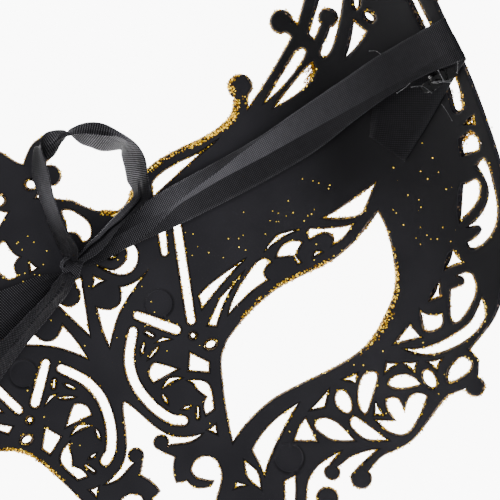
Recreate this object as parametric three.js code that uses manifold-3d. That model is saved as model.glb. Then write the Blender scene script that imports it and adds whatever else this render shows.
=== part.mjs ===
// A fox masquerade half mask of black moulded plastic, cut through with filigree, lying face down
// so that its hollow inside looks up. Two ribbons are glued inside its sides and knotted over the
// forehead. Millimetres; +X is the right of the sheet seen from above, +Y the ears, +Z the inside.
import * as THREE from "three";
import { mergeVertices } from "three/addons/utils/BufferGeometryUtils.js";
import Module from "manifold-3d";

const wasm = await Module();
wasm.setup();

// Driving sizes of the moulded shell
const shellThickness = 1.6;
const restHalfWidth = 5; // the flat strip down the middle that the mask lies on
const bowlRadius = 132; // how the sides wrap round the face
const browY = 18; // above this line the forehead and ears lean back
const browRadius = 150;
const cheekY = -12; // below this line the cheeks lean back beside the muzzle
const cheekRise = 6.5;
const cheekReach = 42;
const muzzleHalfWidth = 8;
const muzzleBlend = 34;

// Driving sizes of the ribbons
const ribbonThickness = 1;
const clearance = 0.45;

// How closely the curved edges are followed, and the pitch of the shell's flat strips
const edgeTolerance = 0.175;
const stripPitch = 16;
const muzzlePitch = 9.3; // finer strips where the cheeks blend into the muzzle
const blankDepth = 12; // the blank is cut thick, then brought to the shell's thickness
const prismBottom = -20;
const prismTop = 80;

// One flag marks a point where an outline turns sharply
const sharp = true;

// Curves

function ease(t) {
  const s = Math.min(Math.max(t, 0), 1);
  return s * s * (3 - 2 * s);
}

// Height of the inside surface over its lowest line
function height(x, y) {
  const side = Math.max(Math.abs(x) - restHalfWidth, 0);
  const bowl = bowlRadius - Math.sqrt(bowlRadius ** 2 - side ** 2);
  const lean = Math.max(y - browY, 0) ** 2 / (2 * browRadius);
  const cheek = ease((cheekY - y) / cheekReach) * ease((Math.abs(x) - muzzleHalfWidth) / muzzleBlend);
  return bowl + lean + cheekRise * cheek;
}

// Unit direction out of the inside surface
function upright(x, y) {
  const d = 0.05;
  const slopeX = (height(x + d, y) - height(x - d, y)) / (2 * d);
  const slopeY = (height(x, y + d) - height(x, y - d)) / (2 * d);
  return new THREE.Vector3(-slopeX, -slopeY, 1).normalize();
}

// Drops the points of a run that a straight edge already follows
function thin(run) {
  const first = run[0];
  const last = run[run.length - 1];
  const along = new THREE.Vector2().subVectors(last, first);
  const size = along.length();
  let far = 0;
  let split = 0;
  for (let i = 1; i < run.length - 1; i += 1) {
    const off = new THREE.Vector2().subVectors(run[i], first);
    const gap = size > 1e-6 ? Math.abs(along.cross(off)) / size : off.length();
    if (gap > far) {
      far = gap;
      split = i;
    }
  }
  if (far < edgeTolerance) return [first, last];
  return [...thin(run.slice(0, split + 1)).slice(0, -1), ...thin(run.slice(split))];
}

// A smooth run through a few points, turning sharply only where a point says so
function curve(points, closed) {
  const count = points.length;
  const at = (i) => new THREE.Vector2(...points[(i + count) % count].slice(0, 2));
  const isSharp = (i) => points[(i + count) % count][2] || (!closed && (i === 0 || i === count - 1));
  const corners = points.map((_, i) => i).filter(isSharp);
  const start = closed && corners.length ? corners[0] : 0;
  const spans = closed ? count : count - 1;
  const runs = [];
  let run = [at(start)];
  for (let k = 0; k < spans; k += 1) {
    const i = start + k;
    const a = at(i);
    const b = at(i + 1);
    const chord = b.clone().sub(a);
    const heading = (j) => (isSharp(j) ? chord.clone() : at(j + 1).sub(at(j - 1)));
    const leave = heading(i).setLength(chord.length());
    const arrive = heading(i + 1).setLength(chord.length());
    const pieces = Math.max(2, Math.ceil(chord.length() / 0.3));
    for (let s = 1; s <= pieces; s += 1) {
      const t = s / pieces;
      const point = a.clone().multiplyScalar(2 * t ** 3 - 3 * t ** 2 + 1);
      point.addScaledVector(leave, t ** 3 - 2 * t ** 2 + t);
      point.addScaledVector(b, 3 * t ** 2 - 2 * t ** 3);
      point.addScaledVector(arrive, t ** 3 - t ** 2);
      run.push(point);
    }
    const half = !corners.length && k === Math.floor(spans / 2);
    if (isSharp(i + 1) || half || k === spans - 1) {
      runs.push(run);
      run = [b];
    }
  }
  const path = runs.flatMap((one) => thin(one).slice(0, -1));
  return closed ? path : [...path, at(count - 1)];
}

// Flat shapes, each a closed list of points

function blob(...points) {
  return curve(points, true);
}

function ellipse(x, y, radiusX, radiusY, turn = 0) {
  const smaller = Math.min(radiusX, radiusY);
  const sides = Math.max(8, Math.ceil(Math.PI / Math.acos(1 - edgeTolerance / Math.max(smaller, 0.4))));
  const tilt = THREE.MathUtils.degToRad(turn);
  const centre = new THREE.Vector2(x, y);
  return Array.from({ length: sides }, (_, i) => {
    const a = (2 * Math.PI * i) / sides;
    const spot = new THREE.Vector2(radiusX * Math.cos(a), radiusY * Math.sin(a));
    return spot.rotateAround(new THREE.Vector2(), tilt).add(centre);
  });
}

function disc(x, y, radius) {
  return ellipse(x, y, radius, radius);
}

// Two tips joined by a curve on each side; a bulge is how far that side stands off the straight line
function leaf(x0, y0, x1, y1, leftBulge, rightBulge) {
  const across = new THREE.Vector2(y0 - y1, x1 - x0).normalize();
  const middle = new THREE.Vector2((x0 + x1) / 2, (y0 + y1) / 2);
  const left = middle.clone().addScaledVector(across, leftBulge);
  const right = middle.clone().addScaledVector(across, -rightBulge);
  return blob([x0, y0, sharp], [left.x, left.y], [x1, y1, sharp], [right.x, right.y]);
}

// A band of changing width with round ends along a smooth line; each point is x, y, width
function stroke(...points) {
  const line = curve(points.map(([x, y]) => [x, y]), false);
  const widthAt = (spot) => {
    let best = Infinity;
    let width = 0;
    for (let i = 0; i < points.length - 1; i += 1) {
      const a = new THREE.Vector2(points[i][0], points[i][1]);
      const b = new THREE.Vector2(points[i + 1][0], points[i + 1][1]);
      const along = b.clone().sub(a);
      const t = THREE.MathUtils.clamp(spot.clone().sub(a).dot(along) / along.lengthSq(), 0, 1);
      const gap = spot.distanceTo(a.addScaledVector(along, t));
      if (gap < best) {
        best = gap;
        width = THREE.MathUtils.lerp(points[i][2], points[i + 1][2], t);
      }
    }
    return width;
  };
  const left = [];
  const right = [];
  line.forEach((spot, i) => {
    const before = line[Math.max(i - 1, 0)];
    const after = line[Math.min(i + 1, line.length - 1)];
    const side = new THREE.Vector2(before.y - after.y, after.x - before.x).setLength(widthAt(spot) / 2);
    left.push(spot.clone().add(side));
    right.unshift(spot.clone().sub(side));
  });
  const cap = (from, centre) => [45, 90, 135].map((degrees) => {
    return from.clone().rotateAround(centre, THREE.MathUtils.degToRad(-degrees));
  });
  const farCap = cap(left[left.length - 1], line[line.length - 1]);
  return [...left, ...farCap, ...right, ...cap(right[right.length - 1], line[0])];
}

function mirrored(outline) {
  return outline.map((p) => new THREE.Vector2(-p.x, p.y)).reverse();
}

// Solids

function solidOf(geometry) {
  const bare = geometry.clone();
  bare.deleteAttribute("normal");
  bare.deleteAttribute("uv");
  const merged = mergeVertices(bare, 1e-5);
  const mesh = new wasm.Mesh({
    numProp: 3,
    vertProperties: new Float32Array(merged.attributes.position.array),
    triVerts: new Uint32Array(merged.index.array),
  });
  return new wasm.Manifold(mesh);
}

function geometryOf(solid) {
  const mesh = solid.getMesh();
  const geometry = new THREE.BufferGeometry();
  geometry.setAttribute("position", new THREE.BufferAttribute(new Float32Array(mesh.vertProperties), 3));
  geometry.setIndex(new THREE.BufferAttribute(new Uint32Array(mesh.triVerts), 1));
  return geometry;
}

function prism(outline) {
  const geometry = new THREE.ExtrudeGeometry(new THREE.Shape(outline), {
    depth: prismTop - prismBottom,
    bevelEnabled: false,
  });
  return solidOf(geometry.translate(0, 0, prismBottom));
}

function join(outlines) {
  return outlines.map(prism).reduce((sum, one) => sum.add(one));
}

// Even steps from one value to at least another
function steps(from, to, pitch) {
  return Array.from({ length: Math.ceil((to - from) / pitch - 1e-6) + 1 }, (_, i) => from + i * pitch);
}

// The blank before it is cut out: flat strips following the surface
function blankShell(reachX, bottomY, topY) {
  const muzzleEnd = restHalfWidth + 4 * muzzlePitch;
  const sideColumns = steps(muzzleEnd + stripPitch, reachX, stripPitch);
  const xs = [...steps(restHalfWidth, muzzleEnd, muzzlePitch), ...sideColumns];
  const columns = [...xs.map((x) => -x).reverse(), ...xs];
  const rows = [...steps(bottomY, cheekY, (cheekY - bottomY) / 6), ...steps(browY, topY, stripPitch)];
  const positions = [];
  for (const drop of [0, blankDepth]) {
    for (const y of rows) {
      for (const x of columns) positions.push(x, y, height(x, y) - drop);
    }
  }
  const wide = columns.length;
  const deep = rows.length;
  const index = [];
  const top = (i, j) => j * wide + i;
  const under = (i, j) => wide * deep + j * wide + i;
  const quad = (a, b, c, d) => index.push(a, b, c, a, c, d);
  for (let j = 0; j < deep - 1; j += 1) {
    for (let i = 0; i < wide - 1; i += 1) {
      quad(top(i, j), top(i + 1, j), top(i + 1, j + 1), top(i, j + 1));
      quad(under(i, j), under(i, j + 1), under(i + 1, j + 1), under(i + 1, j));
    }
  }
  for (let i = 0; i < wide - 1; i += 1) {
    quad(under(i, 0), under(i + 1, 0), top(i + 1, 0), top(i, 0));
    quad(top(i, deep - 1), top(i + 1, deep - 1), under(i + 1, deep - 1), under(i, deep - 1));
  }
  for (let j = 0; j < deep - 1; j += 1) {
    quad(under(0, j), top(0, j), top(0, j + 1), under(0, j + 1));
    quad(top(wide - 1, j), under(wide - 1, j), under(wide - 1, j + 1), top(wide - 1, j + 1));
  }
  const geometry = new THREE.BufferGeometry();
  geometry.setAttribute("position", new THREE.Float32BufferAttribute(positions, 3));
  geometry.setIndex(index);
  return solidOf(geometry);
}

// Brings the cut blank to the shell's thickness, its walls upright as the mould draws them
function thinned(geometry) {
  const position = geometry.attributes.position;
  for (let i = 0; i < position.count; i += 1) {
    const x = position.getX(i);
    const y = position.getY(i);
    const inside = height(x, y);
    const onFront = position.getZ(i) < inside - blankDepth / 2;
    const drop = onFront ? shellThickness / upright(x, y).z : 0;
    position.setZ(i, inside - drop);
  }
  return geometry;
}

// Right half of the outer edge, from the top of the crest round to the tip of the nose
const crestEdge = [
  [0, 46.8], [1.8, 45.2], [3.1, 42.7], [4.3, 41.6, sharp], [5.6, 42.8], [7.6, 44.3], [10.2, 44.9],
  [12.6, 44.6], [14.2, 43.6, sharp], [12.6, 42.1], [11, 40.7], [8.8, 39.9], [6.6, 39.3, sharp],
  [5.6, 38.8], [5.4, 36.8], [4.6, 35.2], [3.2, 34.3, sharp],
];
const browEdge = [
  [5, 33.2], [7, 31.9], [9.8, 30.2], [11.3, 28.4], [13.3, 25.9], [15, 25.2], [16.9, 24], [18.6, 24],
  [20.6, 25.1], [22.6, 27], [27.5, 28.9], [32, 29.4], [37.8, 29.3], [42, 29.2], [46.7, 30.1],
  [48.8, 31.6], [50, 33.6, sharp], [52.8, 33.1, sharp], [51.5, 30.3, sharp], [55.7, 32.4], [62.3, 36.4],
  [66, 38.8, sharp], [65.2, 40.8, sharp], [67.8, 41.6, sharp], [68.2, 40.4, sharp],
];
const earEdge = [
  [70.6, 43.1], [75, 48], [80.2, 55.2], [84.8, 63], [88.4, 71], [91.2, 79.6, sharp], [94.2, 70],
  [95.4, 56], [95, 40],
];
const sideEdge = [
  [94.2, 28.7], [93.8, 16], [92.8, 6.5], [91.6, -2], [89.8, -10], [87.6, -15.5], [84.8, -20.8],
  [81.6, -25.5], [78.6, -29.2], [75.2, -31.9], [71.6, -33.6], [68.7, -35, sharp], [69.4, -37.3],
  [68.7, -39.2], [67.6, -40.9, sharp],
];
const cheekEdge = [
  [64.4, -41.7, sharp], [61.2, -41.4], [59.2, -41.9], [55.2, -44.1], [50.5, -46.2], [47, -46.7],
  [43.7, -46.5], [41.2, -47.1], [38.9, -48.2, sharp], [36.4, -46.9, sharp], [39.4, -45.9], [42.7, -45, sharp],
  [40.5, -44.2], [37, -43.9], [33.6, -44.6, sharp], [31.4, -43.9, sharp], [33.3, -43], [35.7, -42, sharp],
  [33, -42.1], [29.7, -42.7], [26.8, -44.5], [25.4, -46.7], [23.4, -50.2, sharp], [27.4, -49.4, sharp],
];
const muzzleEdge = [
  [28.4, -51.2, sharp], [24, -53.2], [19.5, -56.4], [14, -60.6], [9.5, -64], [5, -66.7], [0, -67.6],
];
const rightEdge = [...crestEdge, ...browEdge, ...earEdge, ...sideEdge, ...cheekEdge, ...muzzleEdge];
const leftEdge = rightEdge.slice(1, -1).map(([x, y, turn]) => [-x, y, turn]).reverse();
const outerEdge = blob(...rightEdge, ...leftEdge);

// Balls that end the curls along the edge: x, y, radius
const edgeBalls = [
  [8.2, 37, 2.1], [6, 36.9, 1.9], [52, 34.9, 2.45], [65.6, 42.6, 2.3], [66.3, -42.2, 1.95],
  [36.9, -48.9, 2.05], [32.1, -45.1, 1.55], [28.7, -49.5, 2.2],
];

// The eye and the gap between the two sides of the nose
const eyeHole = blob(
  [16.4, -30.4, sharp], [17.3, -26.8], [18.6, -22.6], [20.4, -18], [22.2, -13.7], [25.2, -10.7],
  [30, -8.4], [35, -6.7], [41, -5.7], [52, -5.8], [58.6, -4.3], [65.4, -1.1, sharp], [65.4, -4.7],
  [64.3, -10], [61.6, -16.5], [57, -21.1], [50.5, -24.9], [44, -26], [36, -25.9], [27.7, -26.2],
  [21.3, -28],
);
const noseGap = blob(
  [-0.4, -12.5, sharp], [0.4, -12.5, sharp], [2.2, -17], [4.4, -21.6], [7, -24.2], [11.5, -25.8, sharp],
  [8.5, -26.2], [4.5, -24.8, sharp], [2, -24.8, sharp], [4.2, -27.5, sharp], [2.6, -30], [2, -32.4, sharp],
  [4.2, -33.1, sharp], [5, -35.1], [7.8, -36.3], [9, -35.7, sharp], [6.3, -33.5], [6, -31.4],
  [8.7, -29.9], [11.3, -31.4], [11.5, -34.8], [9.2, -38], [5, -41.8], [-0.4, -43.4, sharp],
);
const noseCurlBall = disc(3, -23.5, 1.55);

// Forehead and the scrolls beside the bridge of the nose
const foreheadHoles = [
  disc(3.6, 37.3, 1.35),
  blob(
    [6.9, 29.4], [8.4, 28.9], [9.6, 27.3], [10.8, 24.5], [10, 22], [8.6, 21.3], [7.7, 21.8], [7.6, 23],
    [6.9, 24.2], [5.4, 24.8, sharp], [6.2, 26.1], [6.5, 27.6],
  ),
  blob([4.1, 23, sharp], [5, 20.9, sharp], [3.1, 21, sharp]),
  blob([5.2, 12.1, sharp], [6.5, 14.2, sharp], [8.1, 12.2, sharp]),
  blob(
    [8.2, 15.8, sharp], [9.5, 13.7], [11.6, 11.7], [13.6, 11.2], [15.8, 12.2], [17.2, 14.8],
    [16.6, 18, sharp], [15.2, 17.4, sharp], [15, 15.4], [13.8, 13.9], [11.6, 13.3], [9.8, 14],
  ),
  ellipse(11.9, 16.3, 1.2, 0.9),
  blob(
    [2.6, -0.7, sharp], [2.9, 3], [4, 8, sharp], [5.2, 6.9], [7, 6.2], [9, 6.8], [10.3, 9.6, sharp],
    [14, 9.1], [17.9, 10.3, sharp], [15, 8.7], [11, 6.8], [7, 4.1],
  ),
];
const browSlots = [
  stroke([24.4, 18, 1.8], [22, 11.6, 1.5]),
  stroke([27.8, 18, 1.9], [20.4, -3.6, 1.9]),
  stroke([10.9, 2.5, 1.9], [16.7, -3.9, 2.1]),
  stroke([8.5, 0, 2], [5, -5, 2.2], [3.9, -10, 2.2], [5, -16, 2.2], [7.4, -20.3, 2.2], [9.2, -21.5, 2.2]),
];
const scrollHoles = [
  blob([7.4, -11.6, sharp], [7.3, -9.5], [9.3, -7.9], [10.6, -8.8], [13.3, -11.4, sharp], [10.4, -11.4]),
  leaf(8.4, -13.5, 13.1, -13.4, 1.5, 0),
  blob([17.1, -9.4, sharp], [15, -12.7, sharp], [18.8, -15, sharp], [19.8, -13.1, sharp]),
  ellipse(21.75, -9.9, 1.55, 1.2),
  disc(19.3, -6.55, 0.95),
  stroke([10.9, -1.5, 1], [11.7, -2.7, 1]),
  leaf(11.6, -4.3, 14.9, -5.2, 0.9, 0.1),
  leaf(7.8, -5.1, 9.5, -3.1, 0.45, 0.45),
  leaf(8.6, -6.7, 12, -5.2, 0.4, 0.4),
  leaf(7.9, -14.4, 8, -17, 0.4, 0.4),
  blob(
    [14, -14.5, sharp], [16.8, -15.9], [17.6, -17.6], [16.9, -20.4], [16.1, -22.4, sharp], [14, -22.7, sharp],
    [14.5, -20.7], [15.9, -19.3, sharp], [14.9, -17.2], [14.7, -15.6],
  ),
  stroke([13.2, -20.6, 0.8], [12.3, -22.4, 0.8]),
  leaf(10.1, -19.2, 12.1, -19.5, 0.35, 0.35),
  blob([12.9, -25.6, sharp], [15, -25.3, sharp], [14.3, -27.4, sharp]),
  leaf(16.8, -34.8, 17.2, -41.7, 1.2, 1.2),
  blob([13.4, -38.1, sharp], [14.8, -39.6, sharp], [12.2, -39.1, sharp]),
];

// Brow line over the eye
const browHoles = [
  blob([24.2, 0.3, sharp], [28, 1.5], [36.4, 2.7, sharp], [30.4, 0.5], [26, -1.5], [23.6, -2.4, sharp]),
  blob([23, -6.1, sharp], [28, -2.1], [35, 0.5, sharp], [29.8, -2.4], [26, -5.7], [24.6, -7.1, sharp]),
  blob(
    [28, -6, sharp], [31, -3], [35, -0.8], [37.9, 0.9], [40.1, 0.9], [40.9, -0.4, sharp], [38.9, -1.2],
    [38.4, -2.4], [38.7, -3.4, sharp], [34.9, -3.9],
  ),
  blob(
    [42.3, 0, sharp], [44.5, 1.6], [47, 1.5], [48.6, 0.3, sharp], [46.1, -1.4, sharp], [46.4, -3.3, sharp],
    [45.7, -3.3, sharp], [45.7, -1.4, sharp],
  ),
  blob([40.9, 2.3, sharp], [44.8, 4], [49, 3, sharp], [45, 3]),
  blob(
    [50.3, 0.1, sharp], [50.5, 1.5], [51.4, 2.2], [54.9, 0.4], [59.7, -1.2, sharp], [56.8, -2.7],
    [54, -3.1, sharp], [54.8, -1.4], [53.6, 0], [52, 0.1],
  ),
  blob([49.2, -3.5, sharp], [51.3, -3.4, sharp], [50.3, -2.7, sharp]),
  blob([54.8, 2.8, sharp], [60, 3.2], [67.7, 4.3, sharp], [62.6, 0, sharp], [60, 0.2]),
];

// Forehead edge, the strands below the ear and the ear itself
const wingHoles = [
  blob([25.3, 23.1, sharp], [26.6, 26], [32, 27.1], [38, 26.9], [43.8, 27.6, sharp], [36, 25.9],
  [30.5, 24.3]),
  blob([54.9, 29.6, sharp], [62.3, 34], [66.4, 36.1], [67.3, 34.8], [63.7, 32.4], [58.3, 30.3]),
  blob([56.2, 27.8, sharp], [63.7, 31.2], [67.5, 32.4, sharp], [67.2, 30.2], [62.3, 28.1]),
  blob([73.9, 30, sharp], [76.5, 32.9], [78.5, 35.8, sharp], [79.9, 32.5, sharp], [77, 30.8]),
  ellipse(81.7, 34.9, 1, 1.5, 20),
  ellipse(80.7, 38.7, 0.9, 1.5, -25),
];
const earHoles = [
  blob(
    [70.2, 31.8], [69.6, 33], [70.6, 34.2, sharp], [70, 36.3], [69.5, 37.9], [74, 42.6], [79.6, 49.4],
    [85.4, 60.4, sharp], [83.4, 51.4], [80.6, 44], [77.6, 39], [73.3, 33.8],
  ),
  blob([83.6, 39.6, sharp], [86.6, 48], [88.8, 56.4], [90.8, 69.6, sharp], [91.6, 58], [89, 47.4]),
];
const earCurl = stroke([69.2, 34.6, 2], [71.6, 36.2, 2], [73.6, 38, 2]);
const earCurlBall = disc(74.3, 38.7, 1.9);
const sideSlots = [
  stroke([89.1, 10.1, 1.6], [90.1, 14, 1.9], [90.6, 18, 1.7], [90.9, 23, 1], [91, 28, 0.85],
  [91.2, 46, 0.85]),
  blob([88.7, 6.4, sharp], [90.9, 7.4, sharp], [90.3, 5.4, sharp]),
  blob([86.6, 3.9, sharp], [88.9, 4.9, sharp], [89.6, 2.4], [88.6, 0.4, sharp], [85.7, 1.2, sharp]),
  blob([82.9, -4.2, sharp], [85.6, -4.3, sharp], [85.8, -6], [84.4, -8.2], [82.4, -9.5],
  [79.2, -10.6, sharp], [81.3, -7.1]),
  blob(
    [86.9, -2.1, sharp], [88.8, -1.2, sharp], [89, -2.9], [88.4, -6], [87.7, -9.1], [86.7, -11.9],
    [85.2, -14.4], [82.6, -16.4], [80, -17.1], [78.4, -16.4], [78.4, -15.1, sharp], [81.4, -14.6],
    [81.9, -13.4], [80, -12.4, sharp], [83.2, -11.3], [85.2, -9.8], [86.5, -8.1], [87, -6.2], [87.1, -3.9],
  ),
];

// Cheek filigree below the eye
const cheekHoles = [
  blob([75.2, -15.2, sharp], [75.9, -18.5, sharp], [72.3, -18, sharp]),
  blob([69.8, -19.9, sharp], [68.6, -22.8, sharp], [66.7, -22.3, sharp]),
  blob(
    [73.4, -20.3, sharp], [75, -20.3], [76.3, -21.3], [76.2, -23.2], [75.3, -25.2], [73.2, -27],
    [70.4, -28.7], [68.6, -28.7], [68.6, -27], [70, -24.2], [71.1, -22.2, sharp], [73.8, -22.4, sharp],
    [74.3, -21.4],
  ),
  blob(
    [63.7, -23.5, sharp], [65.1, -25.1], [67.3, -25.8, sharp], [66.5, -27.8], [64.6, -28.4],
    [62.5, -27.4, sharp], [63.2, -25.4],
  ),
  blob([55.9, -27.1, sharp], [60.5, -25, sharp], [61.3, -28.4, sharp], [57.5, -27.6]),
  blob(
    [57.2, -29, sharp], [61, -30.5], [66, -30.8], [71.5, -29.9], [75.8, -26.5, sharp], [74.8, -30.3],
    [71, -32.6], [65.5, -33.2], [60.6, -32.1],
  ),
  blob([60.1, -33.4, sharp], [63, -34.1, sharp], [61, -35.7, sharp]),
  blob([66.4, -35.5], [68, -37.4], [66.8, -38.9], [62.3, -39.3], [62.6, -37.5]),
  blob([58.9, -34.6], [60.3, -36.4], [59, -39], [57.5, -36.6]),
  blob([55.6, -31.4, sharp], [58.2, -32.5, sharp], [56.8, -34.2, sharp]),
  blob([52.6, -29.8, sharp], [54.7, -31.1, sharp], [51.3, -31.6, sharp]),
  blob([50.9, -34.1], [52.8, -33], [55.6, -34.2], [56.9, -37.1, sharp], [52.8, -36]),
  blob(
    [45.1, -39.4, sharp], [48.6, -41.2, sharp], [48.3, -38.3], [49.4, -36.5], [51.3, -37.6],
    [51.3, -40.3, sharp], [53.2, -38.4], [55.2, -38.1], [56.9, -39.6, sharp], [53.8, -42.5], [49.3, -44.8],
    [46.2, -42.5],
  ),
  blob([46.8, -36, sharp], [47.1, -39.2, sharp], [45.2, -38.4, sharp]),
  blob([47.9, -29.8], [49.8, -31.1], [47, -34.4], [44, -37.3], [43.4, -35], [45.5, -31.3]),
  blob([41.2, -30.5], [42.6, -32.6], [41, -35.7], [39.3, -32.8]),
  blob([33.9, -31.6, sharp], [39.4, -29.5, sharp], [37, -32.4, sharp]),
  blob([42.9, -28.9, sharp], [46.3, -29.1, sharp], [45, -30.9, sharp]),
  blob([32.4, -32.6, sharp], [32.3, -38, sharp], [28, -35.8, sharp], [30.4, -33.6]),
  blob([33.4, -34.6], [35.4, -34], [37.8, -36.4], [39.3, -41.3, sharp], [35.4, -39.3], [33.5, -36.4]),
  blob([40.2, -37.4], [41.6, -36.8], [42.9, -39.3], [45.5, -44.3, sharp], [41.6, -42.2], [40.1, -39.3]),
  blob(
    [32.5, -29.2, sharp], [27.5, -29.8], [23, -31.3], [19.3, -33.5, sharp], [19.4, -36.5],
    [19.2, -39.4, sharp], [23.3, -35.6], [28.2, -32.1],
  ),
];

// Muzzle: the gap behind its rim and two small leaves beside the nose pad
const muzzleHoles = [
  blob(
    [22.2, -42.4, sharp], [25, -42.3, sharp], [21.8, -48.2], [16.6, -54.2], [10, -58.6, sharp], [14.4, -52.6],
    [19.6, -47.2],
  ),
  leaf(14.6, -44.6, 5.6, -49.6, 1.3, 0.7),
  leaf(8.4, -54.6, 2.4, -56.2, 0.9, 0.5),
];

// The shell: the outer edge with its balls, less every hole, laid over the surface
function buildMask() {
  const rightHoles = [
    eyeHole, noseGap, ...foreheadHoles, ...browSlots, ...scrollHoles, ...browHoles, ...wingHoles,
    ...earHoles, ...sideSlots, ...cheekHoles, ...muzzleHoles,
  ];
  const bothSides = (outlines) => [...outlines, ...outlines.map(mirrored)];
  const crownHole = blob(
    [0, 3.3, sharp], [2, 9.6], [4.1, 15.2, sharp], [-4.1, 15.2, sharp], [-2, 9.6],
  );
  const crownDrop = [disc(0, 13, 2.4), blob([-1.9, 13], [1.9, 13], [2.3, 15.9, sharp], [-2.3, 15.9, sharp])];
  const balls = edgeBalls.map(([x, y, radius]) => disc(x, y, radius));
  const innerCurls = [...crownDrop, ...bothSides([noseCurlBall, earCurl, earCurlBall])];
  const plate = join([outerEdge, ...bothSides(balls)]);
  const cutPlate = plate.subtract(join([crownHole, ...bothSides(rightHoles)])).add(join(innerCurls));
  const blank = blankShell(100, -72, 80);
  return thinned(geometryOf(cutPlate.intersect(blank)));
}

// Ribbons: each station is x, y, lift off the shell, width, lean in degrees (90 stands on its edge)
function band(stations) {
  const centres = stations.map(([x, y, lift]) => {
    return new THREE.Vector3(x, y, height(x, y)).addScaledVector(upright(x, y), lift);
  });
  const positions = [];
  stations.forEach(([x, y, , width, lean], i) => {
    const before = centres[Math.max(i - 1, 0)];
    const after = centres[Math.min(i + 1, centres.length - 1)];
    const along = after.clone().sub(before).normalize();
    const across = new THREE.Vector3().crossVectors(upright(x, y), along).normalize();
    across.applyAxisAngle(along, THREE.MathUtils.degToRad(lean));
    const through = new THREE.Vector3().crossVectors(along, across);
    for (const [u, v] of [[-1, -1], [1, -1], [1, 1], [-1, 1]]) {
      const corner = centres[i].clone().addScaledVector(across, (u * width) / 2);
      corner.addScaledVector(through, (v * ribbonThickness) / 2);
      positions.push(corner.x, corner.y, corner.z);
    }
  });
  const index = [0, 2, 1, 0, 3, 2];
  for (let i = 0; i < stations.length - 1; i += 1) {
    for (let k = 0; k < 4; k += 1) {
      const a = 4 * i + k;
      const b = 4 * i + ((k + 1) % 4);
      index.push(a, b, b + 4, a, b + 4, a + 4);
    }
  }
  const end = 4 * (stations.length - 1);
  index.push(end, end + 1, end + 2, end, end + 2, end + 3);
  const geometry = new THREE.BufferGeometry();
  geometry.setAttribute("position", new THREE.Float32BufferAttribute(positions, 3));
  geometry.setIndex(index);
  return solidOf(geometry);
}

function flip(stations) {
  return stations.map(([x, y, lift, width, lean]) => [-x, y, lift, width, -lean]);
}

// A rounded lump standing on the shell
function lump(x, y, lift, radiusX, radiusY, radiusZ) {
  const turn = new THREE.Quaternion().setFromUnitVectors(new THREE.Vector3(0, 0, 1), upright(x, y));
  const centre = new THREE.Vector3(x, y, height(x, y)).addScaledVector(upright(x, y), lift);
  const matrix = new THREE.Matrix4().compose(centre, turn, new THREE.Vector3(radiusX, radiusY, radiusZ));
  return new THREE.SphereGeometry(1, 8, 6).applyMatrix4(matrix);
}

const layer = clearance + ribbonThickness / 2;
const secondLayer = layer + ribbonThickness;

// The glued end under the fold at the side of the mask
const gluedEnd = [
  [94.6, 21.6, layer, 9, 0], [88.5, 17.9, layer, 8.8, 0], [80.6, 13.4, layer, 8.4, 0],
  [72.4, 8.8, layer, 8.2, 0],
];
const rightRun = [
  [94.9, 22.4, secondLayer, 9.4, 0], [88, 22.6, secondLayer, 9, 0], [79, 22.8, secondLayer, 8.4, 0],
  [70, 21.8, secondLayer, 8.4, 0], [58, 20.2, layer, 9.2, 0], [45, 19.3, layer, 8.6, 0],
  [30, 19.2, layer, 8.2, 0], [18, 18.6, layer, 5.2, 0], [9, 18.2, layer, 4, 0], [3, 18, layer, 3.6, 0],
];
const leftRun = [
  [-1.9, 17.2, layer, 2.6, 0], [-6, 17, layer, 4.6, 0], [-10.6, 16.8, layer, 7, 0],
  [-16, 16.2, layer, 9.2, 0], [-26, 16.8, layer, 9.4, 0], [-45, 18.8, layer, 9.4, 0],
  [-58, 20.2, layer, 9.2, 0], [-70, 21.6, secondLayer, 9.2, 0], [-88, 22.6, secondLayer, 9.2, 0],
  [-94.9, 22.4, secondLayer, 9.4, 0],
];
const standing = 6;
const loopRun = [
  [3.6, 19.2, 3.2, 3, 60], [4.6, 25, standing, 7, 68], [5, 30, standing, 8, 68], [5.9, 35, standing, 8, 70],
  [7.4, 40, standing, 8, 78], [9.6, 43.6, standing, 8, 90], [12.4, 44.4, standing, 7, 105],
  [15.4, 43.2, standing, 6, 95], [19.4, 41.2, standing, 7, 60], [22.8, 38.6, standing, 8, 55],
  [25, 35, standing, 8, 60], [25.5, 30.6, standing, 8, 62], [24.4, 26.6, standing, 7.4, 66],
  [21.6, 23.8, standing, 6, 70], [15.6, 22, 5, 5, 60], [9, 20.4, 4, 4, 50], [3.4, 18.6, 3, 3, 40],
];
const tailRun = [
  [1, 16, 3, 3, 0], [-3.4, 14, 2.6, 3.4, 0], [-8, 12.1, 2.6, 4.4, 0], [-13.4, 9.9, 2.6, 5.2, 0],
  [-19, 7.6, 2.4, 6.4, 0], [-26, 5.2, 2, 8.4, 0], [-33, 3.4, 1.6, 9, 0], [-40, 2.4, layer, 9, 0],
];

function buildRightRibbon() {
  const knot = solidOf(lump(2.2, 17.8, 2.9, 3.4, 2.9, 2.3));
  const runs = [rightRun, loopRun, tailRun].map(band);
  const whole = runs.reduce((sum, run) => sum.add(run), knot).add(band(gluedEnd));
  return geometryOf(whole);
}

function buildLeftRibbon() {
  return geometryOf(band(leftRun).add(band(flip(gluedEnd))));
}

const blackPlastic = new THREE.MeshStandardMaterial({ color: 0x1c1c1f, roughness: 0.42, metalness: 0 });
const blackSatin = new THREE.MeshStandardMaterial({ color: 0x242428, roughness: 0.55, metalness: 0 });
const clearGlue = new THREE.MeshStandardMaterial({ color: 0x9a9a9c, roughness: 0.08, metalness: 0 });

const fox = new THREE.Group();

function place(name, geometry, material) {
  const mesh = new THREE.Mesh(geometry, material);
  mesh.name = name;
  fox.add(mesh);
}

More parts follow.
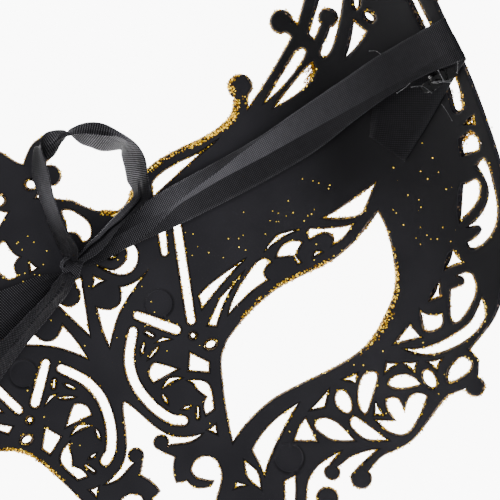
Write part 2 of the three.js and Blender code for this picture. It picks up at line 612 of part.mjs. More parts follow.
place("mask", buildMask(), blackPlastic);
place("ribbon_right", buildRightRibbon(), blackSatin);
place("ribbon_left", buildLeftRibbon(), blackSatin);
place("glue_right", lump(88.6, 15.9, 2.9, 5, 1.5, 1.1), clearGlue);
place("glue_left", lump(-88.6, 15.9, 2.9, 5, 1.5, 1.1), clearGlue);

// The frame's origin: the middle of the footprint, on the surface the mask lies on
const bounds = new THREE.Box3().setFromObject(fox);
const middle = bounds.getCenter(new THREE.Vector3());
fox.position.set(-middle.x, -middle.y, -bounds.min.z);

export default fox;
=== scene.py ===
"""A fox masquerade mask of black plastic filigree, lying face down with its tied ribbons."""
import math

import bmesh
import bpy
import numpy as np
from mathutils import Matrix, Vector, geometry, kdtree, noise


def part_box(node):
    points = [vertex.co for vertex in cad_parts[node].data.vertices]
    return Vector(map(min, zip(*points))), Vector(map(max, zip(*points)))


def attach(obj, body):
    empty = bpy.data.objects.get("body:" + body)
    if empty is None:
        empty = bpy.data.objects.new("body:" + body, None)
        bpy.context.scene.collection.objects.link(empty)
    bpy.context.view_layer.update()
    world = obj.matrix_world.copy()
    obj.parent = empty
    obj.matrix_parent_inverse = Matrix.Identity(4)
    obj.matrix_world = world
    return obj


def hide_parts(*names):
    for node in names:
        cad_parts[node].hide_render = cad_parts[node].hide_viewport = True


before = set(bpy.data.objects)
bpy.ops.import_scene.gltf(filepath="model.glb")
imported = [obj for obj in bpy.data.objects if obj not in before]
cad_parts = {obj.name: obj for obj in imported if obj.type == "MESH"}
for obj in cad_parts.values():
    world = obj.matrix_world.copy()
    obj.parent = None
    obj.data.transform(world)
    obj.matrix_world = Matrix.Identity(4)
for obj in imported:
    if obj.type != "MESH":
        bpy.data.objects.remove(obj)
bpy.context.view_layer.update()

# The drawing and the camera
# The mask is drawn in millimetres on a plan whose Y axis is the middle of the nose. Its muzzle
# tip and its thickness tie that plan to the frame. The camera looks straight down on it.
MM = 0.001
SHELL = 1.6
MUZZLE_TIP_Y = -67.6
PLAN_TO_FRAME = Vector((0.0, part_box("mask")[0].y / MM - MUZZLE_TIP_Y, SHELL))

CAMERA_DISTANCE = 800.0
VIEW_CENTRE = (38.19, 3.86)
VIEW_WIDTH = 105.0
VIEW_ROLL = math.radians(27.4)


def placed(name, data):
    """A new object in the scene, for a mesh, a lamp or a camera."""
    made = bpy.data.objects.new(name, data)
    bpy.context.scene.collection.objects.link(made)
    return made


camera_data = bpy.data.cameras.new("camera")
camera_data.lens = camera_data.sensor_width * CAMERA_DISTANCE / VIEW_WIDTH
camera_data.clip_start = 0.05
camera_data.clip_end = 50.0
camera = placed("camera", camera_data)
camera_right = Vector((math.cos(VIEW_ROLL), -math.sin(VIEW_ROLL), 0.0))
camera_up = Vector((math.sin(VIEW_ROLL), math.cos(VIEW_ROLL), 0.0))
camera_axes = Matrix((camera_right, camera_up, Vector((0.0, 0.0, 1.0)))).transposed()
camera_spot = (Vector((*VIEW_CENTRE, CAMERA_DISTANCE)) + PLAN_TO_FRAME) * MM
camera.matrix_world = Matrix.Translation(camera_spot) @ camera_axes.to_4x4()
bpy.context.scene.camera = camera


# Moulded shell
# One thin moulding of black plastic, 1.6 mm thick, bowed round the face. The walls of its holes
# stand upright, as the mould draws them, and lean a little, so each hole is wider on the inside.
REST_HALF_WIDTH = 5.0
BOWL_RADIUS = 132.0
BROW_Y = 18.0
BROW_RADIUS = 150.0
CHEEK_Y = -12.0
CHEEK_RISE = 6.5
CHEEK_REACH = 42.0
MUZZLE_HALF_WIDTH = 8.0
MUZZLE_BLEND = 34.0


def ease(t):
    """From 0 to 1, with soft ends."""
    s = np.clip(t, 0.0, 1.0)
    return s * s * (3 - 2 * s)


def height(x, y):
    """Height of the inside surface over its lowest line."""
    side = np.maximum(np.abs(x) - REST_HALF_WIDTH, 0)
    bowl = BOWL_RADIUS - np.sqrt(BOWL_RADIUS**2 - side**2)
    lean = np.maximum(y - BROW_Y, 0) ** 2 / (2 * BROW_RADIUS)
    cheek = ease((CHEEK_Y - y) / CHEEK_REACH) * ease((np.abs(x) - MUZZLE_HALF_WIDTH) / MUZZLE_BLEND)
    return bowl + lean + CHEEK_RISE * cheek


def upright(x, y):
    """Unit directions out of the inside surface."""
    d = 0.05
    slope_x = (height(x + d, y) - height(x - d, y)) / (2 * d)
    slope_y = (height(x, y + d) - height(x, y - d)) / (2 * d)
    normal = np.stack([-slope_x, -slope_y, np.ones_like(slope_x)], -1)
    return normal / np.linalg.norm(normal, axis=-1, keepdims=True)


def inside_borders(node):
    """Closed borders of the solid's inside face on the plan, the plastic on their left."""
    solid = bmesh.new()
    solid.from_mesh(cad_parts[node].data)
    bmesh.ops.remove_doubles(solid, verts=solid.verts, dist=1e-7)
    solid.verts.ensure_lookup_table()
    plan = np.array([v.co / MM - PLAN_TO_FRAME for v in solid.verts])
    on_inside = np.abs(plan[:, 2] - height(plan[:, 0], plan[:, 1])) < SHELL / 4
    following = {}
    for face in solid.faces:
        if not all(on_inside[v.index] for v in face.verts):
            continue
        for loop in face.loops:
            other = [f for f in loop.edge.link_faces if f is not face]
            if other and all(on_inside[v.index] for v in other[0].verts):
                continue
            following.setdefault(loop.vert.index, []).append(loop.link_loop_next.vert.index)
    solid.free()
    borders = []
    while following:
        start = next(iter(following))
        path = [start]
        while True:
            ahead = following[path[-1]]
            step = ahead.pop()
            if not ahead:
                del following[path[-1]]
            if step == start:
                break
            path.append(step)
        borders.append(plan[path, :2])
    return borders


def cross(a, b):
    """How far b turns left of a, times both lengths."""
    return a[..., 0] * b[..., 1] - a[..., 1] * b[..., 0]


def unit(v):
    """Vectors brought to a length of 1."""
    return v / np.maximum(np.linalg.norm(v, axis=-1, keepdims=True), 1e-12)


def turns(border):
    """Edges leaving each point, their lengths, and how far the border turns at the point."""
    leave = np.roll(border, -1, 0) - border
    size = np.linalg.norm(leave, axis=1)
    arrive = np.roll(leave, 1, 0)
    turn = np.arctan2(cross(arrive, leave), (arrive * leave).sum(1))
    return leave, size, turn


# The solid's borders follow its curves within this gap, so a border that turns further at a point
# than such a curve could is a real corner
CURVE_GAP = 0.175
STRAIGHT_GAP = 0.012
SLACK = 1.3
CORNER_TURN = math.radians(75)
BORDER_STEP = 0.5
BORDER_TURN = math.radians(14)


def without_straight_points(border):
    """The border without points that lie on the line between their neighbours."""
    while True:
        _, size, turn = turns(border)
        before = np.roll(size, 1)
        gap = np.abs(turn) * before * size / (before + size)
        keep = gap > STRAIGHT_GAP
        keep |= ~np.roll(keep, 1)
        if keep.all() or len(border) < 4:
            return border
        border = border[keep]


def turned(v, angle):
    """Plan vectors turned left by an angle."""
    c, s = np.cos(angle), np.sin(angle)
    return np.stack([c * v[..., 0] - s * v[..., 1], s * v[..., 0] + c * v[..., 1]], -1)


def curve(start, end, leave, arrive, reach, t):
    """Points at t from 0 to 1 on a smooth curve, which leaves and arrives in the given directions."""
    run = start * (2 * t**3 - 3 * t**2 + 1) + end * (3 * t**2 - 2 * t**3)
    return run + reach * (leave * (t**3 - 2 * t**2 + t) + arrive * (t**3 - t**2))


def rounded(border):
    """The border as smooth curves between its sharp corners, in short even steps."""
    border = without_straight_points(border)
    leave, size, turn = turns(border)
    before = np.roll(size, 1)
    arriving_limit = 4 * CURVE_GAP * SLACK / before
    leaving_limit = 4 * CURVE_GAP * SLACK / size
    bend = np.abs(turn)
    sharp = (bend > CORNER_TURN) | (bend > arriving_limit + leaving_limit)
    share = np.clip(bend * size / (before + size), bend - leaving_limit, arriving_limit)
    chords = unit(leave)
    tangent = turned(np.roll(chords, 1, 0), np.sign(turn) * share)
    points = []
    for i, start in enumerate(border):
        j = (i + 1) % len(border)
        chord = chords[i]
        out, into = tangent[i], tangent[j]
        if sharp[i] and sharp[j]:
            out = into = chord
        elif sharp[i]:
            out = 2 * into.dot(chord) * chord - into
        elif sharp[j]:
            into = 2 * out.dot(chord) * chord - out
        curl = math.acos(np.clip(out.dot(into), -1, 1))
        count = max(1, math.ceil(size[i] / BORDER_STEP), math.ceil(curl / BORDER_TURN))
        t = (np.arange(count) / count)[:, None]
        points.append(curve(start, border[j], out, into, size[i], t))
    return np.concatenate(points)


borders = [rounded(border) for border in inside_borders("mask")]
border_points = np.concatenate(borders)
border_starts = np.cumsum([0] + [len(border) for border in borders])
border_next = np.arange(len(border_points)) + 1
border_next[border_starts[1:] - 1] = border_starts[:-1]
border_before = np.empty_like(border_next)
border_before[border_next] = np.arange(len(border_next))
BORDER_EDGES = [(int(i), int(j)) for i, j in enumerate(border_next)]

# How short the middle of two walls' directions may be at a corner, beside the walls' own
CORNER_MIDDLE = 0.45


def inward(points):
    """Directions into the plastic at each border point, longer at a corner so that walls stay even."""
    ahead = unit(points[border_next] - points)
    behind = unit(points - points[border_before])
    sides = np.stack([-ahead[:, 1], ahead[:, 0]], 1), np.stack([-behind[:, 1], behind[:, 0]], 1)
    middle = unit(sides[0] + sides[1])
    return middle / np.maximum((middle * sides[0]).sum(1, keepdims=True), CORNER_MIDDLE)


ROWS_AT_ONCE = 400


def room(points, facing):
    """Radius of the largest circle that touches each border point from the side it faces."""
    radius = np.empty(len(points))
    facing = unit(facing)
    for start in range(0, len(points), ROWS_AT_ONCE):
        rows = slice(start, start + ROWS_AT_ONCE)
        offset = points[None] - points[rows, None]
        reach = np.einsum("ijk,ik->ij", offset, facing[rows])
        span = (offset**2).sum(2)
        touching = np.where(reach > 1e-4, span / np.maximum(2 * reach, 1e-9), np.inf)
        radius[rows] = touching.min(1)
    return radius


def evened(values, passes=3):
    """Values at the border points, lowered so that they change gently along the border."""
    for _ in range(passes):
        around = (values[border_next] + values[border_before]) / 2
        values = np.minimum(values, (values + around) / 2 + 1e-9)
    return values


INTO_PLASTIC = inward(border_points)
border_ahead = border_points[border_next] - border_points
border_step = np.linalg.norm(border_ahead, axis=1)
# The whole length of the border that each point is on
border_length = np.repeat(np.add.reduceat(border_step, border_starts[:-1]), np.diff(border_starts))
plastic_room = room(border_points, INTO_PLASTIC)
hole_room = room(border_points, -INTO_PLASTIC)

# Shares of the room in the plastic or the hole that the shapes of a rim may take up
SLOPE_SHARE = 0.35
NARROWING_SHARE = 0.4
ROUNDING_SHARE = 0.8
LEAN_SHARE = 0.85

# The walls far out that face away from the middle are bare of glitter. They also slope there, so
# that they show as a dark band beside the hole
BARE_FROM_X = 45
BARE_WITHIN = 30
BARE_FACING = 1.6
BARE_SLOPE = 0.9
border_x = border_points[:, 0]
BARE = np.clip((np.abs(border_x) - BARE_FROM_X) / BARE_WITHIN, 0, 1)
BARE *= np.clip(-BARE_FACING * np.sign(border_x) * unit(INTO_PLASTIC)[:, 0], 0, 1)
wall_slope = evened(np.minimum(BARE_SLOPE * BARE, SLOPE_SHARE * plastic_room), 8)

# The smallest holes, less than so far round, narrow towards the front
NARROWING = 0.4
SMALL_HOLE = 12.5
SMALL_HOLE_WITHIN = 3
narrowing = NARROWING * np.clip((SMALL_HOLE - border_length) / SMALL_HOLE_WITHIN, 0, 1)
narrowing = evened(np.minimum(narrowing, NARROWING_SHARE * hole_room))

# The rim is rounded and the wall leans, each by less where there is little room for it
ROUNDING_WIDTH = 0.42
WALL_LEAN = 0.25
edge_width = evened(np.minimum(1.0, ROUNDING_SHARE * plastic_room / ROUNDING_WIDTH))
wall_width = evened(np.minimum(1.0, LEAN_SHARE * (hole_room - narrowing) / WALL_LEAN))

# Rings of the rounded rim from the inside face to the front: offset into the plastic, and depth
RIM = [
    (ROUNDING_WIDTH, 0.0), (0.2, 0.02), (0.07, 0.1), (0.02, 0.25), (-0.2, 1.2), (-WALL_LEAN, 1.42),
    (-0.15, 1.55), (ROUNDING_WIDTH, SHELL),
]


def ring(offset, depth=0.0):
    """The border points moved into the plastic by an offset, as the wall lies at a depth."""
    width = edge_width if offset > 0 else wall_width
    reach = offset * width + wall_slope * (1 - depth / SHELL) - narrowing * depth / SHELL
    return border_points + INTO_PLASTIC * reach[:, None]


# Round marks that the mould's ejector pins leave on the inside: x, y, radius. PIN_RINGS are the
# offsets from a mark's edge at which rings of points lie
PIN_MARKS = [(side * x, y, radius) for x, y, radius in [(16, 2.7, 3), (25.4, -38.5, 3.1)] for side in (1, -1)]
PIN_DEPTH = 0.42
PIN_EDGE = 0.22
PIN_RINGS = (0.5, 0.25, 0.05, -PIN_EDGE / 3, -PIN_EDGE * 2 / 3, -PIN_EDGE - 0.05, -0.45)
PIN_SIDES = 64
# Spacing of the points spread over the inside face
GRID = 1.35


def sunk(x, y):
    """How far the ejector marks lie below the inside surface."""
    depth = np.zeros_like(x)
    for px, py, radius in PIN_MARKS:
        depth = np.maximum(depth, PIN_DEPTH * ease((radius - np.hypot(x - px, y - py)) / PIN_EDGE))
    return depth


def mark_shade_and_highlight(plan):
    """Painted shade, below 0, in a ring round an ejector mark, and painted highlight, above 0, just inside
    its edge.
    """
    line = np.zeros(len(plan))
    for px, py, radius in PIN_MARKS:
        across, up = plan[:, 0] - px, plan[:, 1] - py
        gap = np.hypot(across, up) - radius
        # Its lower side is lit the most
        lit = 0.5 + 0.5 * (0.3 * across - 0.95 * up) / radius
        groove_shade = (gap - 0.12) / (0.12 + 0.12 * np.maximum(lit, 0))
        lip_highlight = (gap + 0.22) / 0.1
        line -= (0.3 + 0.5 * lit) * np.exp(-(groove_shade**2))
        line += (0.2 + 0.7 * lit) * np.exp(-(lip_highlight**2))
    return np.clip(line, -1, 1)


def circle(sides):
    """Corners of a regular polygon about the origin, 1 from it."""
    angle = np.arange(sides) * 2 * math.pi / sides
    return np.stack([np.cos(angle), np.sin(angle)], 1)


def fill_points(edge):
    """Points in even triangles over the inside face, clear of the given ring of its rim."""
    low, high = edge.min(0), edge.max(0)
    xs, ys = np.meshgrid(np.arange(low[0], high[0], GRID), np.arange(low[1], high[1], GRID * 0.87))
    xs[1::2] += GRID / 2
    spread = np.stack([xs.ravel(), ys.ravel()], 1)
    for px, py, radius in PIN_MARKS:
        spread = spread[np.abs(np.hypot(*(spread - (px, py)).T) - radius) > GRID / 2]
        for step in PIN_RINGS:
            spread = np.concatenate([spread, (px, py) + circle(PIN_SIDES) * (radius + step)])
    tree = kdtree.KDTree(len(edge))
    for i, point in enumerate(edge):
        tree.insert((*point, 0), i)
    tree.balance()
    return np.array([p for p in spread if tree.find((*p, 0))[2] > 0.4 * GRID])


def triangulated(points):
    """Places and triangles of plan points, whose borders stay edges, and the points' own numbers."""
    flat = [Vector(p) for p in points]
    places, _, faces, numbers, _, _ = geometry.delaunay_2d_cdt(flat, BORDER_EDGES, [], 0, 1e-7)
    return places, faces, numbers


def crossings(edge):
    """Places where a ring of the rim crosses itself."""
    places, _, numbers = triangulated(edge)
    return np.array([p for p, own in zip(places, numbers) if not own])


def filled(edge):
    """Triangles between the closed borders of a ring, with points spread inside them."""
    inner = fill_points(edge)
    _, faces, numbers = triangulated(np.concatenate([edge, inner]))
    faces = [[numbers[i][0] for i in face] for face in faces]
    # A triangle lies in the plastic if it runs the same way along a border's edge as the border
    forward = set(BORDER_EDGES)
    side_of = {}
    for index, face in enumerate(faces):
        for k in range(3):
            side_of[(face[k], face[(k + 1) % 3])] = index
    queue = [side_of[line] for line in BORDER_EDGES]
    plastic = set(queue)
    while queue:
        face = faces[queue.pop()]
        for k in range(3):
            a, b = face[k], face[(k + 1) % 3]
            if (a, b) in forward:
                continue
            beside = side_of.get((b, a))
            if beside is not None and beside not in plastic:
                plastic.add(beside)
                queue.append(beside)
    kept = np.array([faces[i] for i in sorted(plastic)])
    used = np.unique(kept[kept >= len(edge)])
    order = np.arange(len(edge) + len(inner))
    order[used] = len(edge) + np.arange(len(used))
    return inner[used - len(edge)], order[kept].tolist()


# Where a ring would cross itself, the rim is made narrower nearby, round after round
CROSSING_REACH = 0.9
CROSSING_ROUNDS = 12
for _ in range(CROSSING_ROUNDS):
    crossed = crossings(ring(ROUNDING_WIDTH))
    if not len(crossed):
        break
    for spot in crossed:
        near = np.hypot(*(border_points - spot).T) < CROSSING_REACH
        edge_width[near] *= 0.7
        wall_slope[near] *= 0.6
        narrowing[near] *= 0.6


def surface_point(plan, depth):
    """Plan points and their depths into the plastic as points in the frame's metres."""
    x, y = plan[:, 0], plan[:, 1]
    z = height(x, y) - np.broadcast_to(depth, len(x)) / upright(x, y)[:, 2]
    return (np.stack([x, y, z], 1) + np.array(PLAN_TO_FRAME)) * MM


def mesh_object(name, points, faces, smooth=True):
    """A new object of points in metres and faces between them."""
    mesh = bpy.data.meshes.new(name)
    mesh.from_pydata(points, [], faces)
    mesh.polygons.foreach_set("use_smooth", [smooth] * len(mesh.polygons))
    return placed(name, mesh)


def write_layers(piece, layers):
    """Named values at a piece's points, for its material to read."""
    for title, values in layers.items():
        written = piece.data.attributes.new(title, "FLOAT", "POINT")
        written.data.foreach_set("value", values)


def build_mask():
    """The moulding: its inside face, the rings of its rims and its front, with their layers."""
    count = len(border_points)
    inner, triangles = filled(ring(ROUNDING_WIDTH))
    plans = [ring(offset, depth) for offset, depth in RIM] + [inner, inner]
    depth = np.repeat([depth for _, depth in RIM] + [0.0, SHELL], [len(plan) for plan in plans])
    plan = np.concatenate(plans)
    sink = np.where(depth == 0, sunk(plan[:, 0], plan[:, 1]), 0)
    faces = []
    last = (len(RIM) - 1) * count
    for upper in range(0, last, count):
        lower = upper + count
        faces += [(upper + i, lower + i, lower + j, upper + j) for i, j in enumerate(border_next)]
    front_inner = last + len(inner)
    faces += [[i if i < count else i + last for i in face] for face in triangles]
    front = [[i + last if i < count else i + front_inner for i in face] for face in triangles]
    faces += [face[::-1] for face in front]
    mask = mesh_object("mask_shell", surface_point(plan, depth + sink), faces)
    # Glitter coats all but the inside face and the first two bands of its rim
    coated = np.ones(len(faces), int)
    coated[:2 * count] = 0
    coated[last:len(faces) - len(front)] = 0
    mask.data.polygons.foreach_set("material_index", coated)
    rim_bare = np.maximum(BARE, 0.5 * narrowing / NARROWING)
    bare = np.concatenate([np.tile(rim_bare, len(RIM)), np.zeros(2 * len(inner))])
    write_layers(mask, {"wall": np.clip(depth / SHELL, 0, 1), "bare": bare, "mark": mark_shade_and_highlight(plan)})
    return mask


mask = build_mask()
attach(mask, "root")
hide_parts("mask")


class Signal:
    """A socket of a shader. Operators on it add Math nodes, and node() adds any other node."""

    def __init__(self, tree, socket=None):
        self.tree = tree
        self.socket = socket

    def connect(self, target, inputs):
        """Feeds a node's inputs with other sockets, or sets them to values."""
        for name, value in inputs.items():
            if isinstance(value, Signal):
                self.tree.links.new(value.socket, target.inputs[name])
            else:
                target.inputs[name].default_value = value

    def node(self, kind, settings=None, inputs=None, output=0):
        """A new node's output, as a Signal."""
        made = self.tree.nodes.new(kind)
        for name, value in (settings or {}).items():
            if name == "stops":
                set_stops(made.color_ramp, value)
            else:
                setattr(made, name, value)
        self.connect(made, inputs or {})
        return Signal(self.tree, made.outputs[output])

    def math(self, operation, *values):
        return self.node("ShaderNodeMath", {"operation": operation}, dict(enumerate(values)))

    def __add__(self, other):
        return self.math("ADD", self, other)

    def __radd__(self, other):
        return self.math("ADD", other, self)

    def __sub__(self, other):
        return self.math("SUBTRACT", self, other)

    def __rsub__(self, other):
        return self.math("SUBTRACT", other, self)

    def __mul__(self, other):
        return self.math("MULTIPLY", self, other)

    def __rmul__(self, other):
        return self.math("MULTIPLY", other, self)

    def __pow__(self, other):
        return self.math("POWER", self, other)

    def __gt__(self, other):
        return self.math("GREATER_THAN", self, other)

    def __lt__(self, other):
        return self.math("LESS_THAN", self, other)

    def at_most(self, other):
        return self.math("MINIMUM", self, other)

    def wave(self):
        return self.math("SINE", self)

    def size(self):
        """The value without its sign."""
        return self.math("ABSOLUTE", self)

    def rise(self, low, high):
        """From 0 at low to 1 at high, with soft ends."""
        inputs = {"Value": self, "From Min": low, "From Max": high}
        return self.node("ShaderNodeMapRange", {"interpolation_type": "SMOOTHSTEP"}, inputs)

    def blend(self, low, high):
        """The colour low where this is 0 and high where it is 1."""
        return self.node("ShaderNodeMix", {"data_type": "RGBA"}, {0: self, 6: low, 7: high}, 2)

    def ramp(self, stops):
        """The colour between the stops at this place from 0 to 1."""
        return self.node("ShaderNodeValToRGB", {"stops": stops}, {0: self})

    def part(self, name):
        """One of the three numbers of a colour."""
        return self.node("ShaderNodeSeparateColor", {}, {0: self}, name)

    def along(self, axis):
        """One coordinate of a place."""
        return self.node("ShaderNodeSeparateXYZ", {}, {0: self}, axis)

    def layer(self, name):
        """The values that write_layers() gave the piece under a name."""
        return self.node("ShaderNodeAttribute", {"attribute_name": name}, output="Fac")

    def spot(self):
        """The place on the object, in metres."""
        return self.node("ShaderNodeTexCoord", output="Object")

    def mottle(self, scale, detail):
        """Uneven light and dark, finer with a larger scale."""
        inputs = {"Vector": self.spot(), "Scale": scale, "Detail": detail}
        return self.node("ShaderNodeTexNoise", {}, inputs)

    def bump(self, height, strength, distance):
        inputs = {"Height": height, "Strength": strength, "Distance": distance}
        return self.node("ShaderNodeBump", {}, inputs)


def set_stops(ramp, stops):
    """Gives a colour ramp its stops in place of its own."""
    ramp.elements.remove(ramp.elements[-1])
    ramp.elements[0].position, ramp.elements[0].color = stops[0]
    for position, colour in stops[1:]:
        ramp.elements.new(position).color = colour


def material(name):
    """A new material, its empty node tree as a Signal, and its surface's shader."""
    made = bpy.data.materials.new(name)
    made.use_nodes = True
    tree = made.node_tree
    shader = tree.nodes["Principled BSDF"]
    return made, Signal(tree), shader


# The plastic's darkest and lightest black, and how far out the painted shadow by the ribbon is darkest, in
# metres
BLACK_PLASTIC = (0.002, 0.0019, 0.0024, 1), (0.041, 0.0395, 0.0465, 1)
RIBBON_SHADE_X = 0.066
# Gold glitter sticks to the front and to the walls of the holes, flake beside flake: how many
# flakes to a metre, and their colours from the dullest to the brightest
FLAKE_CELLS = 2700.0
GOLDS = [
    (0.0, (0.08, 0.03, 0.002, 1)), (0.28, (0.45, 0.21, 0.012, 1)), (0.6, (0.9, 0.53, 0.02, 1)),
    (1.0, (1.0, 0.7, 0.05, 1)),
]


def flake_tilt(paint, cell, amount):
    """The surface's direction, turned another way on every flake."""
    def vector(operation, inputs):
        return paint.node("ShaderNodeVectorMath", {"operation": operation}, inputs)

    tilt = vector("SUBTRACT", {0: cell, 1: (0.5, 0.5, 0.5)})
    tilt = vector("SCALE", {0: tilt, "Scale": amount})
    facing = paint.node("ShaderNodeNewGeometry", output="Normal")
    return vector("NORMALIZE", {0: vector("ADD", {0: facing, 1: tilt})})


def moulded_plastic():
    made, paint, shader = material("moulded_plastic")
    grain = paint.mottle(5200.0, 3.0)
    cloud = paint.mottle(90.0, 2.0)
    # Painted shade: the steep sides catch more of the white room, so they are painted a little blacker
    side = paint.spot().along("X").size()
    up = paint.spot().along("Y").rise(-0.012, 0.006)
    # Painted shadow by the ribbon, darkest at RIBBON_SHADE_X from the middle and fading out lower down
    shade = (1.0 - (side - RIBBON_SHADE_X).size().rise(0.0, 0.022)) * up
    side = side.rise(0.05, 0.085)
    tone = (cloud * 0.6 * (1.0 - side) + 0.4 - 0.28 * side) * (1.0 - 0.8 * shade)
    # Painted shade darkens the rounded rims, except the bare ones, whose thin lip gets a painted highlight
    wall, bare = paint.layer("wall"), paint.layer("bare")
    rim = wall.rise(0.0, 0.012)
    lip_highlight = wall.rise(0.0, 0.05) * bare
    # Painted shade and highlight round the ejector marks
    tone = tone * (0.88 + 0.24 * grain) * (1.0 + paint.layer("mark"))
    tone = tone * (1.0 - 0.75 * rim * (1.0 - bare)) + 0.35 * lip_highlight
    paint.connect(shader, {
        "Base Color": tone.blend(*BLACK_PLASTIC),
        "Roughness": 0.42 + 0.12 * cloud,
        "Normal": paint.bump(grain, 0.25, 0.00002),
        "Specular IOR Level": 0.15,
    })
    return made


def glitter_coat():
    """Flakes over the whole front, thinning out and darker up the walls of the holes, where a painted grey
    reflection is mixed in.
    """
    made, paint, shader = material("glitter_coat")
    front = paint.layer("wall").rise(0.86, 0.97)
    inputs = {"Vector": paint.spot(), "Scale": FLAKE_CELLS}
    cell = paint.node("ShaderNodeTexVoronoi", {}, inputs, "Color")
    patch = paint.mottle(420.0, 2.0).rise(0.36, 0.5)
    bare = paint.layer("bare") * (1.0 - front)
    chance = (0.3 + 0.6 * patch) * (1.0 - 0.9 * bare) + 1.2 * front
    gold = chance > cell.part("Red")
    gilt = cell.part("Green").ramp(GOLDS)
    # Painted reflection: on the walls the flakes are mixed with grey, for the white room that the coat
    # doesn't reflect
    painted_wall_reflection = front.blend((0.062, 0.055, 0.064, 1), (0.006, 0.003, 0.0, 1))
    gilt_and_reflection = (0.115 + 0.025 * front).blend(painted_wall_reflection, gilt)
    plastic = bare.blend((0.004, 0.0036, 0.004, 1), (0.011, 0.0105, 0.0125, 1))
    paint.connect(shader, {
        "Base Color": gold.blend(plastic, gilt_and_reflection),
        "Roughness": 0.7 - 0.35 * gold * front,
        "Normal": flake_tilt(paint, cell, 0.9),
        "Specular IOR Level": 0.0,
    })
    return made


mask.data.materials.append(moulded_plastic())
mask.data.materials.append(glitter_coat())


# Loose glitter
# Six-sided flakes of gold foil from the front's coat, a few tenths of a millimetre across. They
# cling to the edges of the holes, in thick bands here and there, and some strayed on to the inside.

# Where glitter gathered thickly along the longer borders: x, y, reach, width of the band and flakes
# a millimetre. A width below 0 is a clot inside a hole, along any border. All of them are on both
# sides, but those with x below 0 are on the left alone
GLITTER_BANDS = [
    (16.2, 24.8, 2.0, 1.1, 26), (21.0, 26.0, 1.8, 1.1, 24), (29.5, 28.5, 2.5, 1.2, 16),
    (36.0, 28.9, 3.0, 0.9, 16), (40.0, 28.6, 2.5, 1.2, 26), (43.5, 29.0, 2.5, 1.4, 32),
    (47.0, 30.1, 2.5, 1.5, 34), (50.0, 32.4, 1.8, 1.2, 30), (49.8, 35.6, 1.4, 1.3, 30),
    (51.5, 37.0, 1.2, 0.8, 14), (31.5, -7.2, 1.6, 0.8, 16), (35.5, -5.6, 1.5, 0.9, 18),
    (41.0, -5.0, 3.0, 0.8, 14), (46.0, -5.1, 3.0, 0.8, 14), (50.5, -5.2, 2.0, 0.8, 10),
    (52.0, -24.0, 3.0, 0.8, 12), (55.5, -21.3, 2.5, 1.5, 30), (59.0, -18.0, 2.5, 0.9, 20),
    (61.0, -14.5, 2.5, 0.7, 18), (61.5, -11.0, 2.5, 0.5, 12), (66.7, 29.8, 1.8, -1.5, 130),
    (90.0, 6.3, 1.0, -0.7, 40), (88.6, 4.4, 0.9, -1.0, 50), (87.2, 4.0, 0.8, -0.9, 50),
    (-25.5, -10.2, 2.5, 0.6, 16), (-22.5, -13.2, 2.5, 0.6, 16), (-20.0, -18.0, 2.5, 0.7, 20),
]
LONG_BORDER = 100.0
BAND_START = -0.3
# Painted shade on the flakes of a clot inside a hole
CLOT_SHADE = 0.55
# Flakes to a millimetre along every edge, and how far in they lie: a mean and a spread
EDGE_FLAKES = 3.6
EDGE_INSET = (-0.16, 0.13)
# Flakes farther in than so much are heaped on the inside face, and the others cling to the wall
HEAP_INSET = 0.05
HEAP_DEPTHS = (-0.2, -0.04)
WALL_DEPTHS = (0.1, 1.2)
STRAY_DEPTH = -0.06
FLAKE_SIDES = 6
FLAKE_RADII = (0.12, 0.21)
STRAY_RADII = (0.08, 0.14)
FLAKE_TILT = 0.42
# The share of the room in the plastic or the hole that they may lie across
FLAKE_SHARE = 0.8
FLAKE_SEED = 11
# Flakes that strayed on to the inside: middle and half width and height of each patch, and number
STRAY_PATCHES = [
    (45.0, 7.0, 17.0, 6.0, 24), (74.0, -3.0, 7.5, 11.0, 24), (58.0, 1.0, 12.0, 8.0, 8),
    (22.0, 9.0, 9.0, 6.0, 6), (6.0, 8.0, 10.0, 12.0, 10), (16.0, -16.0, 4.0, 22.0, 8),
    (50.0, -34.0, 22.0, 8.0, 14), (80.0, 8.0, 8.0, 16.0, 5), (0.0, 24.0, 9.0, 7.0, 8),
]


def inside_plastic(points):
    """Whether plan points lie on the plastic, by the borders' windings round them."""
    winding = np.zeros(len(points))
    for border in borders:
        if not len(points):
            break
        a = border[None] - points[:, None]
        b = np.roll(border, -1, 0)[None] - points[:, None]
        winding += np.arctan2(cross(a, b), (a * b).sum(-1)).sum(1)
    return winding > math.pi


